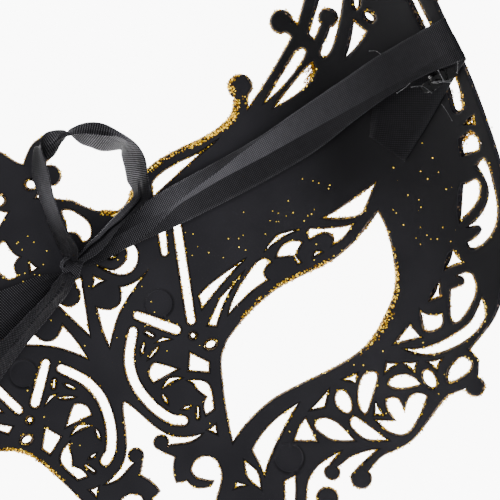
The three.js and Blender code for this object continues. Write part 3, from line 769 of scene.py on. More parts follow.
def scatter_flakes():
    """Places, facings, radii and shades of the loose flakes, and the dice that threw them."""
    dice = np.random.default_rng(FLAKE_SEED)
    spots, facings, painted_clot_shade = [], [], []
    middle = border_points + border_ahead / 2
    mirrored = np.stack([np.abs(middle[:, 0]), middle[:, 1]], 1)
    patchy = np.array([noise.noise(Vector((x * 0.45, y * 0.45, 3.0))) for x, y in middle])
    # More of it settled towards the sides
    held = border_step * (1 - 0.9 * BARE) * np.interp(mirrored[:, 0], (10, 40, 80), (0.7, 1, 1.8))
    jobs = [(EDGE_FLAKES * np.clip(1 + 1.6 * patchy, 0.15, 2.5) * held, None)]
    for x, y, reach, width, thick in GLITTER_BANDS:
        where = middle if x < 0 else mirrored
        near = np.exp(-((np.hypot(*(where - (x, y)).T) / reach) ** 2))
        allowed = (border_length > LONG_BORDER) | (width < 0)
        jobs.append((thick * near * border_step * (near > 0.1) * allowed, width))
    into = unit(INTO_PLASTIC)
    for expected, width in jobs:
        number = dice.poisson(expected)
        chosen = np.repeat(np.arange(len(number)), number)
        start = border_points[chosen] + border_ahead[chosen] * dice.random((len(chosen), 1))
        if width is None:
            inset = dice.normal(*EDGE_INSET, len(chosen))
        else:
            inset = BAND_START + (width - BAND_START) * dice.random(len(chosen))
            inset *= dice.uniform(0.6, 1, len(chosen))
        reach = np.where(inset > 0, plastic_room[chosen], hole_room[chosen]) * FLAKE_SHARE
        inset = np.clip(inset, -reach, reach)
        plan = start + into[chosen] * inset[:, None]
        heaped = dice.uniform(*HEAP_DEPTHS, len(chosen))
        clinging = dice.uniform(*WALL_DEPTHS, len(chosen))
        spots.append(surface_point(plan, np.where(inset > HEAP_INSET, heaped, clinging)) / MM)
        to_hole = np.concatenate([-into[chosen], np.zeros((len(chosen), 1))], 1)
        on_wall = (inset <= HEAP_INSET)[:, None]
        facings.append(upright(plan[:, 0], plan[:, 1]) + to_hole * 0.6 * on_wall)
        # Flakes of a clot get painted shade
        painted_clot_shade.append(np.full(len(chosen), CLOT_SHADE if width and width < 0 else 1.0))
    for x, y, half_x, half_y, number in STRAY_PATCHES:
        for side in (1, -1):
            angle, reach = dice.random(number) * 2 * math.pi, np.sqrt(dice.random(number))
            plan = np.stack([half_x * reach * np.cos(angle), half_y * reach * np.sin(angle)], 1)
            plan += (side * x, y)
            plan = plan[inside_plastic(plan)]
            spots.append(surface_point(plan, STRAY_DEPTH) / MM)
            facings.append(upright(plan[:, 0], plan[:, 1]))
            painted_clot_shade.append(np.ones(len(plan)))
    strays = sum(len(patch) for patch in spots[len(jobs):])
    spots, facings = np.concatenate(spots), np.concatenate(facings)
    first_stray = len(spots) - strays
    radii = dice.uniform(*FLAKE_RADII, len(spots))
    radii[first_stray:] = dice.uniform(*STRAY_RADII, strays)
    # Strays lie on bare black, where bright ones show
    shades = dice.random(len(spots)) * np.concatenate(painted_clot_shade)
    shades[first_stray:] = 0.9 + 0.1 * shades[first_stray:]
    facings = unit(unit(facings) + dice.normal(0, FLAKE_TILT, facings.shape))
    return spots, facings, radii, shades, dice


def build_flakes():
    """The flakes as flat plates, with their shades."""
    spots, facings, radii, shades, dice = scatter_flakes()
    level = unit(np.cross(facings, dice.normal(0, 1, facings.shape)))
    over = np.cross(facings, level)
    corners = [spots + (c * level + s * over) * radii[:, None] for c, s in circle(FLAKE_SIDES)]
    points = np.stack(corners, 1).reshape(-1, 3) * MM
    faces = np.arange(len(points)).reshape(-1, FLAKE_SIDES).tolist()
    flakes = mesh_object("gold_glitter", points, faces, smooth=False)
    write_layers(flakes, {"shade": np.repeat(shades, FLAKE_SIDES)})
    return flakes


def loose_glitter():
    made, paint, shader = material("gold_foil_flakes")
    shade = paint.layer("shade")
    gilt = shade.ramp(GOLDS)
    # Painted glints: foil catches every lamp of a room, so the brightest flakes glow and give back more than
    # their share
    paint.connect(shader, {
        "Base Color": gilt,
        "Roughness": 0.22 + 0.2 * shade,
        "Emission Color": (shade ** 5.0).blend((0, 0, 0, 1), gilt),
        "Emission Strength": 2.6,
        "Metallic": 0.85,
    })
    return made


flakes = build_flakes()
flakes.data.materials.append(loose_glitter())
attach(flakes, "root")


# Right ribbon
# Black woven satin, 10 mm wide. It is glued inside the side of the mask, folds over, runs pleated
# to the knot over the forehead and comes out of it as a twisted loop and a loose tail.
CLOTH = 0.22
RUN_STEP = 0.45
# SELVAGE is how far in from each edge the painted highlight along the selvages reaches
SELVAGE = 0.25
# How fast wrinkles change along and across the cloth
WRINKLES = (0.35, 1.1)
# A wrap of the knot goes on inside it, so it takes up at least so much cloth, in metres
SHORTEST_LENGTH = 0.012
FACET_COLUMNS = (0.02, 0.18, 0.36, 0.5, 0.64, 0.82, 0.98)


def through(points, count):
    """A smooth line through the points, as so many evenly spread ones."""
    points = np.asarray(points, float)
    reach = np.linalg.norm(np.diff(points[..., :2], axis=0), axis=-1)
    reach = reach.reshape(len(reach), -1).mean(1)
    at = np.concatenate([[0], np.cumsum(np.maximum(reach, 1e-6))])
    flat = points.reshape(len(points), -1)
    slope = np.gradient(flat, at, axis=0)
    wanted = np.linspace(0, at[-1], count)
    part = np.clip(np.searchsorted(at, wanted, side="right") - 1, 0, len(at) - 2)
    size = (at[part + 1] - at[part])[:, None]
    t = ((wanted - at[part])[:, None]) / size
    made = curve(flat[part], flat[part + 1], slope[part], slope[part + 1], size, t)
    return made.reshape(count, *points.shape[1:])


def lifted(points):
    """Points in the frame's millimetres, given as the camera sees them on the plan, and the lift."""
    x, y = points[..., 0], points[..., 1]
    spot = np.stack([x, y, height(x, y)], -1)
    ray = np.array([*VIEW_CENTRE, CAMERA_DISTANCE]) - spot
    ray = ray / ray[..., 2:3] * (points[..., 2:3] / upright(x, y)[..., 2:3])
    return spot + ray + np.array(PLAN_TO_FRAME)


def laid_out(stations, facet_sheen_and_shade, coarse, columns):
    """Rows of points of a strip's middle surface, and the painted light and shade and the coarseness at each.
    """
    rails = np.asarray(stations, float)
    length = np.linalg.norm(np.diff(rails.mean(1)[:, :2], axis=0), axis=1).sum()
    looks = np.zeros((*rails.shape[:2], 2))
    looks[:, :-1, 0] = facet_sheen_and_shade
    looks[..., 1] = np.reshape(coarse, (-1, 1))
    both = through(np.concatenate([rails, looks], 2), max(8, int(length / RUN_STEP)))
    grid, light, rough = [], [], []
    for facet in range(rails.shape[1] - 1):
        for u in columns:
            grid.append(both[:, facet, :3] * (1 - u) + both[:, facet + 1, :3] * u)
            light.append(both[:, facet, 3])
            rough.append(both[:, facet, 4])
    return lifted(np.stack(grid, 1)), np.stack(light, 1), np.stack(rough, 1)


def normals(grid):
    """Unit directions out of a surface at its rows of points."""
    return unit(np.cross(np.gradient(grid, axis=1), np.gradient(grid, axis=0)))


def two_sided(name, grid):
    """A closed sheet of cloth, whose middle surface is given as rows of points."""
    rows, width = grid.shape[:2]
    half = normals(grid) * CLOTH / 2
    spots = np.concatenate([(grid + half).reshape(-1, 3), (grid - half).reshape(-1, 3)]) * MM
    under = rows * width
    faces = []
    for i in range(rows - 1):
        for j in range(width - 1):
            a = i * width + j
            faces.append((a, a + 1, a + width + 1, a + width))
            faces.append((a + under, a + width + under, a + width + 1 + under, a + 1 + under))
    rim = [i * width for i in range(rows)] + [(rows - 1) * width + j for j in range(1, width)]
    rim += [i * width + width - 1 for i in range(rows - 2, -1, -1)] + list(range(width - 2, 0, -1))
    faces += [(a, b, b + under, a + under) for a, b in zip(rim, rim[1:] + rim[:1])]
    piece = mesh_object(name, spots, faces)
    turning = bmesh.new()
    turning.from_mesh(piece.data)
    bmesh.ops.recalc_face_normals(turning, faces=turning.faces)
    turning.to_mesh(piece.data)
    turning.free()
    return piece


def cloth_strip(
    name, stations, facet_sheen_and_shade, coarse, slant=35, pitch=0.42, crown=0.0, wrinkle=0.0, seed=0.0,
    columns=FACET_COLUMNS,
):
    """A strip through stations of (x, y, lift) points that lie across it, facets between them."""
    grid, light, rough = laid_out(stations, facet_sheen_and_shade, coarse, columns)
    gap = np.linalg.norm(np.diff(grid, axis=1), axis=2)
    across = np.concatenate([np.zeros((len(grid), 1)), np.cumsum(gap, 1)], 1)
    across -= across[:, -1:] / 2
    step = np.linalg.norm(np.diff(grid, axis=0), axis=2).mean(1)
    along = np.concatenate([[0], np.cumsum(step)])[:, None] + np.zeros_like(across)
    share = np.abs(across) / np.maximum(across[:, -1:], 1e-6)
    ripple = np.array([
        [noise.noise(Vector((a * WRINKLES[0], b * WRINKLES[1], seed))) for a, b in zip(*row)]
        for row in zip(along, across)
    ])
    grid = grid + normals(grid) * (crown * (1 - share**2) + wrinkle * ripple)[..., None]
    piece = two_sided(name, grid)
    # The weave's ribs run at a slant, and its threads lie across them
    c, d = math.cos(math.radians(slant)), math.sin(math.radians(slant))
    turn = 2 * math.pi / pitch
    rib, thread = (c * across - d * along) * turn, (c * along + d * across) * turn
    # Painted highlight along the selvages
    edge = np.clip(1 - (across[:, -1:] - np.abs(across)) / SELVAGE, 0, 1)
    looks = {"rib": rib, "thread": thread, "sheen": light, "coarse": rough, "edge": edge}
    write_layers(piece, {title: np.tile(values.ravel(), 2) for title, values in looks.items()})
    piece["flat_length"] = max(float(along[-1, 0]) * MM, SHORTEST_LENGTH)
    return piece


def satin():
    made, paint, shader = material("woven_satin")
    # The black satin's base colour is painted light: each facet's painted sheen and shade sets it
    sheen = paint.layer("sheen")
    # Slanted ribs of the weave, with threads across them, that the light facets hide
    rib = paint.layer("rib").wave().rise(-0.7, 0.7)
    thread = paint.layer("thread").wave().rise(-0.7, 0.7)
    contrast = paint.layer("coarse")
    ribbed = (0.45 * contrast).at_most(0.8)
    weave = rib * (thread * (1.0 - ribbed) + ribbed)
    cloud = paint.mottle(900.0, 4.0)
    tone = sheen * (1.0 + contrast * (2.8 * weave - 0.8)) * (0.8 + 0.4 * cloud)
    # Painted highlight along the selvages
    tone = tone * (1.0 + 0.6 * paint.layer("edge"))
    paint.connect(shader, {
        "Base Color": tone.blend((0.0015, 0.0015, 0.0018, 1), (0.2, 0.196, 0.215, 1)),
        "Roughness": 0.5 + 0.15 * contrast,
        "Normal": paint.bump(weave * contrast, 0.5, 0.00006),
        "Specular IOR Level": 0.03,
    })
    return made


SATIN = satin()

# The run from the knot to the fold: x, then the height on the plan and the lift of the lower
# edge, of two pleats and of the upper edge, then the painted sheen and shade of the three facets
# between them and how coarse the weave looks
RIGHT_RUN = [
    (3, 17.6, 1, 17.8, 1.6, 18.8, 1.6, 19.4, 1.2, 0.1, 0.08, 0.07, 0.3),
    (5, 17, 0.8, 17.2, 1.5, 18.7, 1.3, 20, 1, 0.11, 0.09, 0.07, 0.3),
    (8, 16.2, 0.6, 16.4, 1.4, 18.6, 1, 20.5, 0.9, 0.12, 0.1, 0.08, 0.4),
    (12, 16.1, 0.6, 16.3, 1.4, 19, 0.8, 21.2, 1, 0.13, 0.14, 0.08, 0.9),
    (17, 16.1, 0.6, 16.5, 1.4, 19.4, 0.8, 22, 1, 0.14, 0.19, 0.09, 1.1),
    (22, 15.7, 0.6, 17.1, 1.4, 19.4, 0.9, 22.8, 0.9, 0.15, 0.21, 0.19, 1.1),
    (26, 15.4, 0.6, 18.2, 1.3, 19.3, 1.2, 23.2, 0.7, 0.17, 0.36, 0.42, 0.8),
    (29, 15.2, 0.6, 19.1, 1.1, 19.7, 1.4, 23.4, 0.6, 0.22, 0.72, 0.46, 0.7),
    (34, 15.1, 0.6, 19.5, 0.9, 20.6, 1.5, 23.5, 0.6, 0.19, 0.7, 0.32, 0.6),
    (40, 15, 0.6, 19.8, 0.8, 21.5, 1.6, 23.5, 0.6, 0.17, 0.66, 0.17, 0.5),
    (45, 15, 0.6, 19.8, 0.8, 22.5, 1.6, 23.6, 0.7, 0.14, 0.5, 0.14, 0.4),
    (50, 15.1, 0.6, 19.8, 0.8, 23.3, 1.6, 23.8, 1.2, 0.13, 0.46, 0.19, 0.4),
    (60, 15.7, 0.7, 20, 1, 24.5, 1.7, 24.9, 1.5, 0.1, 0.27, 0.22, 0.3),
    (70, 17.6, 1.6, 20.1, 1.6, 25.6, 1.9, 26, 1.7, 0.09, 0.16, 0.16, 0.3),
    (80, 18.9, 1.8, 20.3, 1.8, 26.6, 2, 27, 1.8, 0.065, 0.08, 0.08, 0.25),
    (88, 18.8, 1.9, 20.6, 2, 26.9, 2, 27.2, 1.9, 0.06, 0.075, 0.08, 0.3),
    (92.6, 18.1, 1.9, 20.8, 2, 26.9, 2, 27.3, 1.9, 0.07, 0.08, 0.085, 0.6),
    (94.4, 17.9, 1.5, 20.7, 1.5, 26.8, 1.5, 27.2, 1.5, 0.06, 0.07, 0.07, 0.6),
    (93.9, 17.5, 0.9, 20.2, 0.9, 25.9, 0.9, 26.4, 0.9, 0.04, 0.04, 0.04, 0.3),
]


def run_stations(table, side=1):
    """A run's stations, its facets' painted light and shade, and its coarseness, for side 1 or mirrored, -1.
    """
    rows = [[(side * row[0], row[k], row[k + 1]) for k in (1, 3, 5, 7)] for row in table]
    return rows, [row[9:12] for row in table], [row[12] for row in table]


right_run = cloth_strip("ribbon_right_run", *run_stations(RIGHT_RUN), pitch=0.39, wrinkle=0.12, seed=1.0)

# The glued end leaves the fold downward and lies flat on the plastic
GLUED_END = [
    [(93.9, 17.5, 0.9), (93.9, 26.4, 0.9)],
    [(90.7, 15.4, 0.5), (86.8, 24.4, 0.5)],
    [(88.8, 14.2, 0.4), (82.5, 23.2, 0.4)],
    [(81.6, 9.4, 0.35), (74.8, 19.4, 0.35)],
    [(74.7, 5.2, 0.3), (70.6, 13.4, 0.3)],
]


def glued_end(name, side, seed=0.0):
    """The glued end of a ribbon, for side 1 or mirrored, -1."""
    stations = [[(side * x, y, lift) for x, y, lift in row] for row in GLUED_END]
    return cloth_strip(name, stations, [[0.05]] * 5, [0.4] * 5, slant=62, seed=seed)


right_end = glued_end("ribbon_right_end", 1, seed=2.0)

# The loop stands nearly on its edge and twists twice. Each row has x, y and lift of one edge, of
# the fold and of the other edge, how far the cloth swells beside the fold, the painted sheen and
# shade of four facets and how coarse the weave looks
LOOP = [
    (3, 19, 1.8, 4, 18.8, 3, 5, 18.6, 3.6, 0, 0.12, 0.12, 0.12, 0.12, 0.3),
    (2.8, 20.6, 1.4, 4.2, 20, 4, 5.7, 19.5, 6.4, 0, 0.13, 0.13, 0.11, 0.07, 0.3),
    (2.8, 22.6, 1.2, 4.6, 21.8, 4.8, 6.2, 20.9, 8, 0, 0.12, 0.12, 0.1, 0.07, 0.3),
    (3.1, 26.9, 1.2, 4.6, 26.3, 5, 6, 25.7, 8.6, 0, 0.15, 0.15, 0.14, 0.11, 0.4),
    (3.8, 32.2, 1.4, 5.2, 32, 5, 6.6, 31.8, 8.6, 0, 0.27, 0.28, 0.27, 0.22, 0.4),
    (4.3, 36, 2, 5.9, 35.7, 5.2, 7.5, 35.4, 8.2, 0, 0.19, 0.22, 0.2, 0.18, 0.4),
    (5.1, 39.2, 3, 6.8, 38.9, 5.4, 8.4, 38.6, 7.6, 0, 0.09, 0.1, 0.12, 0.16, 0.3),
    (6.6, 41.9, 4, 7.7, 41.2, 5.6, 8.7, 40.5, 7.2, 0, 0.05, 0.06, 0.08, 0.14, 0.3),
    (8.4, 43.7, 4.8, 8.8, 43.2, 5.8, 9.1, 42.6, 6.8, 0, 0.04, 0.05, 0.07, 0.12, 0.3),
    (9.1, 42.4, 4.8, 9.5, 43.5, 5.8, 9.9, 44.6, 6.8, 0, 0.06, 0.06, 0.07, 0.07, 0.8),
    (9.1, 40.5, 4.4, 10, 43, 5.8, 10.9, 45.2, 7.4, 0, 0.05, 0.055, 0.08, 0.08, 1),
    (10.5, 40.2, 3.8, 11.4, 42.9, 5.6, 12.1, 45.3, 7.6, 0, 0.055, 0.08, 0.16, 0.16, 1.2),
    (11.7, 40.8, 3.8, 12.5, 43, 5.6, 13.2, 45, 7.6, 0, 0.06, 0.1, 0.2, 0.19, 1.2),
    (13.3, 41.9, 4.2, 13.8, 43.3, 5.8, 14.3, 44.5, 7.4, 0, 0.06, 0.08, 0.13, 0.13, 1),
    (14.6, 42.5, 4.8, 15, 42.8, 6.2, 15.3, 43.9, 7.2, 0, 0.14, 0.15, 0.16, 0.16, 0.5),
    (15.8, 43.5, 5.6, 15.9, 42.4, 6.6, 15.7, 43.2, 6.6, 0, 0.2, 0.2, 0.18, 0.18, 0.5),
    (17.1, 43.7, 6.4, 16.8, 42.4, 7.4, 16.3, 41.5, 5, 0, 0.13, 0.11, 0.2, 0.2, 1),
    (18.9, 43.6, 7.2, 18.2, 41.8, 8.2, 17, 39.9, 4, 0, 0.14, 0.09, 0.22, 0.25, 1.1),
    (20.7, 43.1, 7.8, 19.9, 40.8, 8.8, 18.5, 38.3, 3, 0, 0.15, 0.08, 0.24, 0.27, 1.1),
    (22.3, 42.2, 8.2, 21.3, 39.8, 9.2, 20, 36.7, 2.4, 0, 0.15, 0.09, 0.26, 0.25, 1.1),
    (23.7, 40.9, 8.6, 23, 38.8, 9.4, 21.4, 35.9, 1.8, 0, 0.19, 0.1, 0.3, 0.24, 1),
    (25, 39, 9, 24.5, 37.9, 9.4, 22.8, 35.4, 1.5, 0, 0.38, 0.34, 0.36, 0.26, 0.6),
    (26.2, 37, 9.2, 25.6, 36.6, 8.8, 23.8, 34.9, 1.4, 0, 0.5, 0.48, 0.38, 0.24, 0.5),
    (27.2, 34.7, 9.4, 26, 34.5, 7.2, 23.5, 33.9, 1.4, 0, 0.4, 0.38, 0.26, 0.18, 0.9),
    (27.6, 32.4, 9.6, 25.8, 32.2, 6.4, 22.9, 31.8, 1.4, 0, 0.17, 0.22, 0.19, 0.17, 1.5),
    (27.3, 30.1, 9.4, 25.3, 30, 6.2, 22.4, 29.9, 1.4, 0, 0.09, 0.16, 0.19, 0.18, 1.6),
    (26.6, 28.3, 9, 24.8, 28.3, 6, 22, 28.4, 1.5, 0, 0.1, 0.18, 0.24, 0.22, 1.5),
    (25.9, 26.3, 8, 24.3, 26.6, 5.6, 22.1, 27.2, 2.2, 0.3, 0.08, 0.12, 0.15, 0.15, 0.7),
    (24.9, 23.8, 5, 22.9, 24.3, 3.6, 21.8, 25.3, 3.2, 0.5, 0.06, 0.06, 0.1, 0.15, 0.3),
    (21.4, 22.2, 2.4, 20.1, 22.9, 2.4, 19.3, 24.2, 3.6, 0.6, 0.08, 0.07, 0.1, 0.24, 0.2),
    (17.6, 21.3, 2.2, 17.3, 21.8, 2.1, 16.2, 23.2, 3.6, 0.6, 0.12, 0.08, 0.12, 0.3, 0.15),
    (14.8, 20.1, 2.4, 14.1, 21.3, 2.1, 13.3, 22.1, 3.6, 0.6, 0.15, 0.11, 0.08, 0.3, 0.2),
    (11.8, 18.6, 2.4, 11.2, 20.4, 2.1, 10.5, 21.2, 3.4, 0.6, 0.16, 0.14, 0.08, 0.27, 0.3),
    (9, 17.8, 2.4, 8.6, 20, 2.1, 8.4, 20.7, 3.2, 0.6, 0.16, 0.14, 0.06, 0.2, 0.4),
    (6.2, 17.6, 2.4, 6.2, 19.3, 2.2, 6.4, 19.9, 2.8, 0.6, 0.15, 0.14, 0.08, 0.16, 0.5),
    (4, 17.6, 2.2, 4.1, 18.7, 2.2, 4.2, 19.3, 2.4, 0.5, 0.13, 0.13, 0.1, 0.12, 0.4),
]


def loop_rails(row):
    """Five rails across the loop: its edges, the fold, and the cloth on both sides of the fold."""
    first, fold, last = np.reshape(row[:9], (3, 3))
    swell = np.array([0, 0, row[9]])
    return [first, first * 0.3 + fold * 0.7 + swell, fold, fold * 0.7 + last * 0.3 + swell, last]


right_loop = cloth_strip(
    "ribbon_right_loop", [loop_rails(row) for row in LOOP], [row[10:14] for row in LOOP],
    [row[14] for row in LOOP], slant=107, pitch=0.46, wrinkle=0.08, seed=3.0,
)

# The tail comes out under the knot and lies across the left ribbon's lower edge. Each row has x,
# y and lift of its upper edge, of its middle and of its lower edge, and the painted sheen and shade
# of two facets
TAIL = [
    (2.1, 18.2, 3.2, 2.6, 16.8, 4, 3, 15.3, 2.6, 0.12, 0.12),
    (0.8, 17.6, 3, 1.2, 16.1, 4.4, 1.9, 14.6, 2.4, 0.12, 0.132),
    (-1.4, 16.7, 2.7, -0.6, 15, 4.8, 0.2, 13.4, 2.2, 0.12, 0.144),
    (-3.2, 15.6, 2.5, -2.9, 13.9, 4.9, -2.6, 12.2, 2, 0.12, 0.156),
    (-7.4, 14.2, 2.4, -7.6, 12.1, 4.8, -7.9, 9.9, 1.8, 0.132, 0.156),
    (-11.4, 12.8, 2.4, -11.9, 10.3, 4.4, -12.6, 7.8, 1.6, 0.132, 0.168),
    (-16.4, 11.2, 2.2, -17, 8.3, 3.9, -17.6, 5.4, 1.4, 0.132, 0.168),
    (-24.2, 9.4, 1.8, -24.6, 5.4, 2.8, -25.2, 1.4, 1.1, 0.132, 0.156),
    (-32.6, 7.9, 1.4, -33, 3.5, 1.8, -33.4, -0.9, 0.8, 0.144, 0.156),
    (-40.4, 6.6, 1, -39.5, 2.3, 1.1, -38.6, -2, 0.7, 0.156, 0.156),
]
right_tail = cloth_strip(
    "ribbon_right_tail", [np.reshape(row[:9], (3, 3)) for row in TAIL], [row[9:] for row in TAIL],
    [0.4, 0.4, 0.4, 0.5] + [0.7] * 6, pitch=0.44, slant=62, crown=0.2, wrinkle=0.2, seed=4.0,
)

# The knot shows as a wrap of this ribbon over the other, drawn tight, and a curl beside it. Each
# row has x, y and lift of both edges, the painted sheen and shade and how coarse the weave looks
KNOT_WRAPS = [
    ("ribbon_right_wrap", 5.0, 59, [
        ((3.6, 20.1, 2.4), (6.9, 18.3, 1.4), 0.17, 0.3),
        ((2.4, 20.0, 3.6), (5.9, 17.5, 3.0), 0.18, 0.3),
        ((1.8, 19.2, 4.2), (4.9, 16.6, 3.8), 0.18, 0.6),
        ((1.3, 18.2, 4.0), (4.0, 15.6, 3.6), 0.17, 1.2),
        ((0.5, 16.9, 3.2), (2.3, 15.0, 2.8), 0.09, 0.8),
    ]),
    ("ribbon_right_curl", 6.0, 0, [
        ((4.2, 19.7, 3.0), (4.0, 20.1, 3.2), 0.15, 0.2),
        ((2.7, 19.7, 4.3), (2.5, 20.2, 4.3), 0.22, 0.2),
        ((2.0, 19.3, 4.8), (1.5, 19.6, 4.6), 0.26, 0.2),
        ((1.6, 18.7, 4.8), (1.1, 18.8, 4.5), 0.26, 0.2),
        ((1.9, 18.3, 4.7), (1.5, 18.0, 4.4), 0.2, 0.2),
        ((2.4, 18.6, 4.5), (2.4, 18.2, 4.3), 0.2, 0.2),
    ]),
]
right_knot = [
    cloth_strip(
        name, [row[:2] for row in rows], [row[2:3] for row in rows], [row[3] for row in rows],
        slant=slant, crown=0.35, wrinkle=0.3, seed=seed, columns=np.linspace(0, 1, 15),
    )
    for name, seed, slant, rows in KNOT_WRAPS
]


def one_ribbon(name, lengths, node):
    """The lengths of one ribbon as a single piece of cloth."""
    cloth = bmesh.new()
    for piece in lengths:
        cloth.from_mesh(piece.data)
    mesh = bpy.data.meshes.new(name)
    cloth.to_mesh(mesh)
    cloth.free()
    made = placed(name, mesh)
    made.data.materials.append(SATIN)
    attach(made, "root")
    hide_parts(node)
    for piece in lengths:
        bpy.data.objects.remove(piece)
    return made


one_ribbon(
    "satin_ribbon_right", [right_run, right_end, right_loop, right_tail, *right_knot], "ribbon_right"
)


# Left ribbon
# The other length of the same satin. It mirrors the right one's glued end and fold, and runs
# beneath the tail to the knot, inside which it ends.
# Same columns as RIGHT_RUN, with the painted sheen and shade of the facets
LEFT_RUN = [
    (-1.5, 17, 1.6, 17.3, 2, 17.6, 2, 17.9, 1.6, 0.09, 0.1, 0.11, 0.5),
    (0.2, 16.4, 1.2, 16.9, 1.8, 17.6, 1.8, 18.2, 1.2, 0.08, 0.08, 0.1, 0.6),
    (3.4, 14.9, 0.9, 16.3, 1.4, 18, 1.2, 19.4, 0.9, 0.09, 0.1, 0.12, 0.9),
    (8.3, 12.8, 0.8, 15.4, 1.2, 18.2, 0.9, 19.9, 0.8, 0.11, 0.13, 0.15, 1),
    (15.6, 10.9, 0.7, 14.2, 1, 18.2, 0.8, 20.8, 0.7, 0.11, 0.14, 0.14, 1),
    (26, 11.6, 0.6, 15.6, 0.8, 18.4, 1, 21.4, 0.6, 0.12, 0.17, 0.13, 1),
    (45, 14.1, 0.6, 17, 0.7, 20.4, 1.2, 23.3, 0.6, 0.12, 0.19, 0.13, 0.4),
    (58, 15.6, 0.7, 18.6, 0.8, 22, 1.2, 24.8, 0.8, 0.11, 0.17, 0.12, 0.4),
    (70, 17.4, 1.6, 20, 1.6, 23.6, 1.8, 26, 1.7, 0.099, 0.14, 0.12, 0.4),
    (80, 18.6, 1.8, 20.6, 1.8, 24.6, 2, 27, 1.8, 0.099, 0.12, 0.11, 0.4),
    (88, 18.6, 1.9, 20.6, 2, 24.9, 2, 27.2, 1.9, 0.11, 0.13, 0.13, 0.4),
    (92.6, 18.1, 1.9, 20.8, 2, 24.9, 2, 27.3, 1.9, 0.12, 0.13, 0.13, 0.4),
    (94.4, 17.9, 1.5, 20.7, 1.5, 24.8, 1.5, 27.2, 1.5, 0.11, 0.12, 0.12, 0.4),
    (93.9, 17.5, 0.9, 20.2, 0.9, 24.2, 0.9, 26.4, 0.9, 0.066, 0.066, 0.066, 0.4),
]
left_run = cloth_strip(
    "ribbon_left_run", *run_stations(LEFT_RUN, -1), slant=72, pitch=0.44, wrinkle=0.12, seed=7.0
)
left_end = glued_end("ribbon_left_end", -1)
one_ribbon("satin_ribbon_left", [left_run, left_end], "ribbon_left")


# Glue
# A bead of clear hot glue pressed over each ribbon's end, drawn out into strings as the nozzle
# left. It shows glossy and dark over the black satin.
STRING_POINTS = 22
STRING_SIDES = 8
# Each bead's x, y and lift, and its half sizes
GLUE_BEADS = [
    (86.7, 18.2, 1.5, 0.55, 0.4, 0.45), (88.2, 17.4, 0.7, 1.8, 1.2, 0.14),
    (90.4, 16.9, 0.65, 1.8, 1.3, 0.14), (86.2, 16.6, 0.6, 2.2, 1.2, 0.1),
]
# Each string's radius, and x, y and lift of points along it
GLUE_STRINGS = [
    (0.04, [(79.5, 18.5, 2.3), (80.9, 18.6, 2.7), (82.7, 19.0, 2.6)]),
    (0.04, [(82.5, 18.2, 2.2), (84.5, 17.3, 1.8), (85.6, 15.1, 1.0)]),
    (0.085, [(86.8, 17.0, 1.4), (88.3, 16.2, 1.4), (89.8, 15.3, 1.0)]),
    (0.1, [(88.7, 18.7, 2.0), (88.7, 17.5, 1.8), (88.7, 16.1, 1.2)]),
    (0.04, [(86.3, 12.2, 0.8), (86.5, 10.3, 1.2), (86.6, 8.2, 0.6)]),
    (0.04, [(92.8, 18.4, 2.0), (92.3, 17.4, 2.0), (91.6, 16.3, 1.2)]),
    (0.04, [(78.5, 28.7, 0.5), (79.6, 28.1, 1.6), (80.2, 27.0, 2.2)]),
]


def draw_string(bead, thin, radius, line, number, side):
    """One string as a closed tube round its line, uneven and thicker at both ends."""
    centres = lifted(through([(side * x, y, lift) for x, y, lift in line], STRING_POINTS))
    ahead = unit(np.gradient(centres, axis=0))
    level = unit(np.cross(ahead, (0, 0, 1)))
    over = np.cross(level, ahead)
    rings = []
    for i, centre in enumerate(centres):
        thick = radius * (1 + 0.4 * noise.noise(Vector((i * 0.4, number, side))))
        thick *= 1 + 1.6 * (abs(2 * i / (STRING_POINTS - 1) - 1)) ** 6
        corners = [centre + thick * (c * level[i] + s * over[i]) for c, s in circle(STRING_SIDES)]
        rings.append([bead.verts.new(Vector(corner * MM)) for corner in corners])
        for vert in rings[-1]:
            vert[thin] = 1.0
    for near, far in zip(rings, rings[1:]):
        for k in range(STRING_SIDES):
            j = (k + 1) % STRING_SIDES
            bead.faces.new((near[k], near[j], far[j], far[k]))
    bead.faces.new(rings[0][::-1])
    bead.faces.new(rings[-1])


def glue(side):
    """The bead and its strings on one side, as one piece."""
    bead = bmesh.new()
    thin = bead.verts.layers.float.new("thin")
    for x, y, lift, *half_sizes in GLUE_BEADS:
        made = bmesh.ops.create_icosphere(bead, subdivisions=4, radius=1.0)
        for vert in made["verts"]:
            swell = 1 + 0.1 * noise.noise(vert.co * 1.7 + Vector((x, y, 0)))
            dx, dy, dz = (at * half * swell for at, half in zip(vert.co, half_sizes))
            vert.co = Vector(lifted(np.array([side * (x + dx), y + dy, lift + dz])) * MM)
    for number, (radius, line) in enumerate(GLUE_STRINGS):
        draw_string(bead, thin, radius, line, number, side)
    bmesh.ops.recalc_face_normals(bead, faces=bead.faces)
    mesh = bpy.data.meshes.new("glue")
    bead.to_mesh(mesh)
    bead.free()
    mesh.polygons.foreach_set("use_smooth", [True] * len(mesh.polygons))
    return placed("glue_right_bead" if side > 0 else "glue_left_bead", mesh)


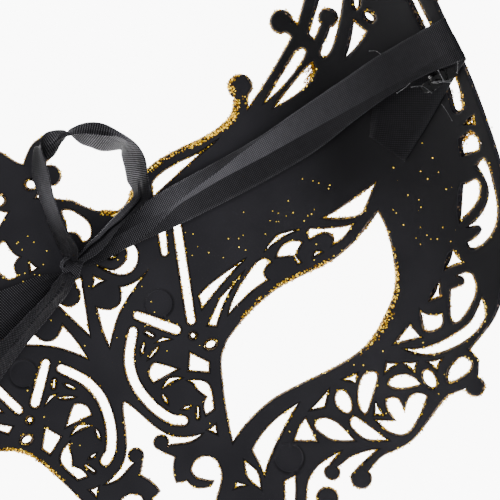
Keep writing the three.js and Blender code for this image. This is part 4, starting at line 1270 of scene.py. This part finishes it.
def clear_glue():
    made, paint, shader = material("clear_glue")
    haze = paint.mottle(620.0, 1.0)
    # Thick glue shows the black satin under it, and a thin string is painted whitish, a painted reflection of
    # the white room
    thick = haze.blend((0.001, 0.001, 0.001, 1), (0.004, 0.004, 0.004, 1))
    paint.connect(shader, {
        "Base Color": paint.layer("thin").blend(thick, (0.1, 0.1, 0.105, 1)),
        "Roughness": 0.06 + 0.1 * haze,
        "Normal": paint.bump(haze, 0.8, 0.0004),
        "Specular IOR Level": 0.35,
    })
    return made


GLUE = clear_glue()
for side, node in ((1, "glue_right"), (-1, "glue_left")):
    piece = glue(side)
    piece.data.materials.append(GLUE)
    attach(piece, "root")
    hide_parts(node)


# Floor and light
# A white seamless sheet under the mask, and the soft light of a white room.
FLOOR_RADIUS = 6.0
FLOOR_SIDES = 96
# In metres, a little under the mask, so that the two don't touch
FLOOR_Z = -0.0004
corners = [(FLOOR_RADIUS * x, FLOOR_RADIUS * y, FLOOR_Z) for x, y in circle(FLOOR_SIDES)]
floor = mesh_object("floor", corners, [list(range(FLOOR_SIDES))], smooth=False)
white, paint, shader = material("white_sheet")
paint.connect(shader, {
    "Base Color": (0.86, 0.86, 0.86, 1),
    "Roughness": 0.9,
    "Specular IOR Level": 0.0,
    "Emission Color": (1, 1, 1, 1),
    "Emission Strength": 9.0,
})
floor.data.materials.append(white)

world = bpy.data.worlds.new("room")
bpy.context.scene.world = world
world.use_nodes = True
sky = {"Color": (0.97, 0.97, 1, 1), "Strength": 0.55}
Signal(world.node_tree).connect(world.node_tree.nodes["Background"], sky)

LAMP_AIM = Vector((0.04, 0.0, 0.01))


def soft_box(name, spot, size, power):
    """A square studio light, in metres and watts, that faces the mask."""
    data = bpy.data.lights.new(name, "AREA")
    data.shape = "SQUARE"
    data.size = size
    data.energy = power
    lamp = placed(name, data)
    facing = (Vector(spot) - LAMP_AIM).to_track_quat("Z", "Y").to_matrix().to_4x4()
    lamp.matrix_world = Matrix.Translation(spot) @ facing


soft_box("lower_box", (0.25, -1.1, 0.8), 0.6, 6.0)
soft_box("upper_box", (-0.5, 1.1, 1.1), 0.7, 3.0)
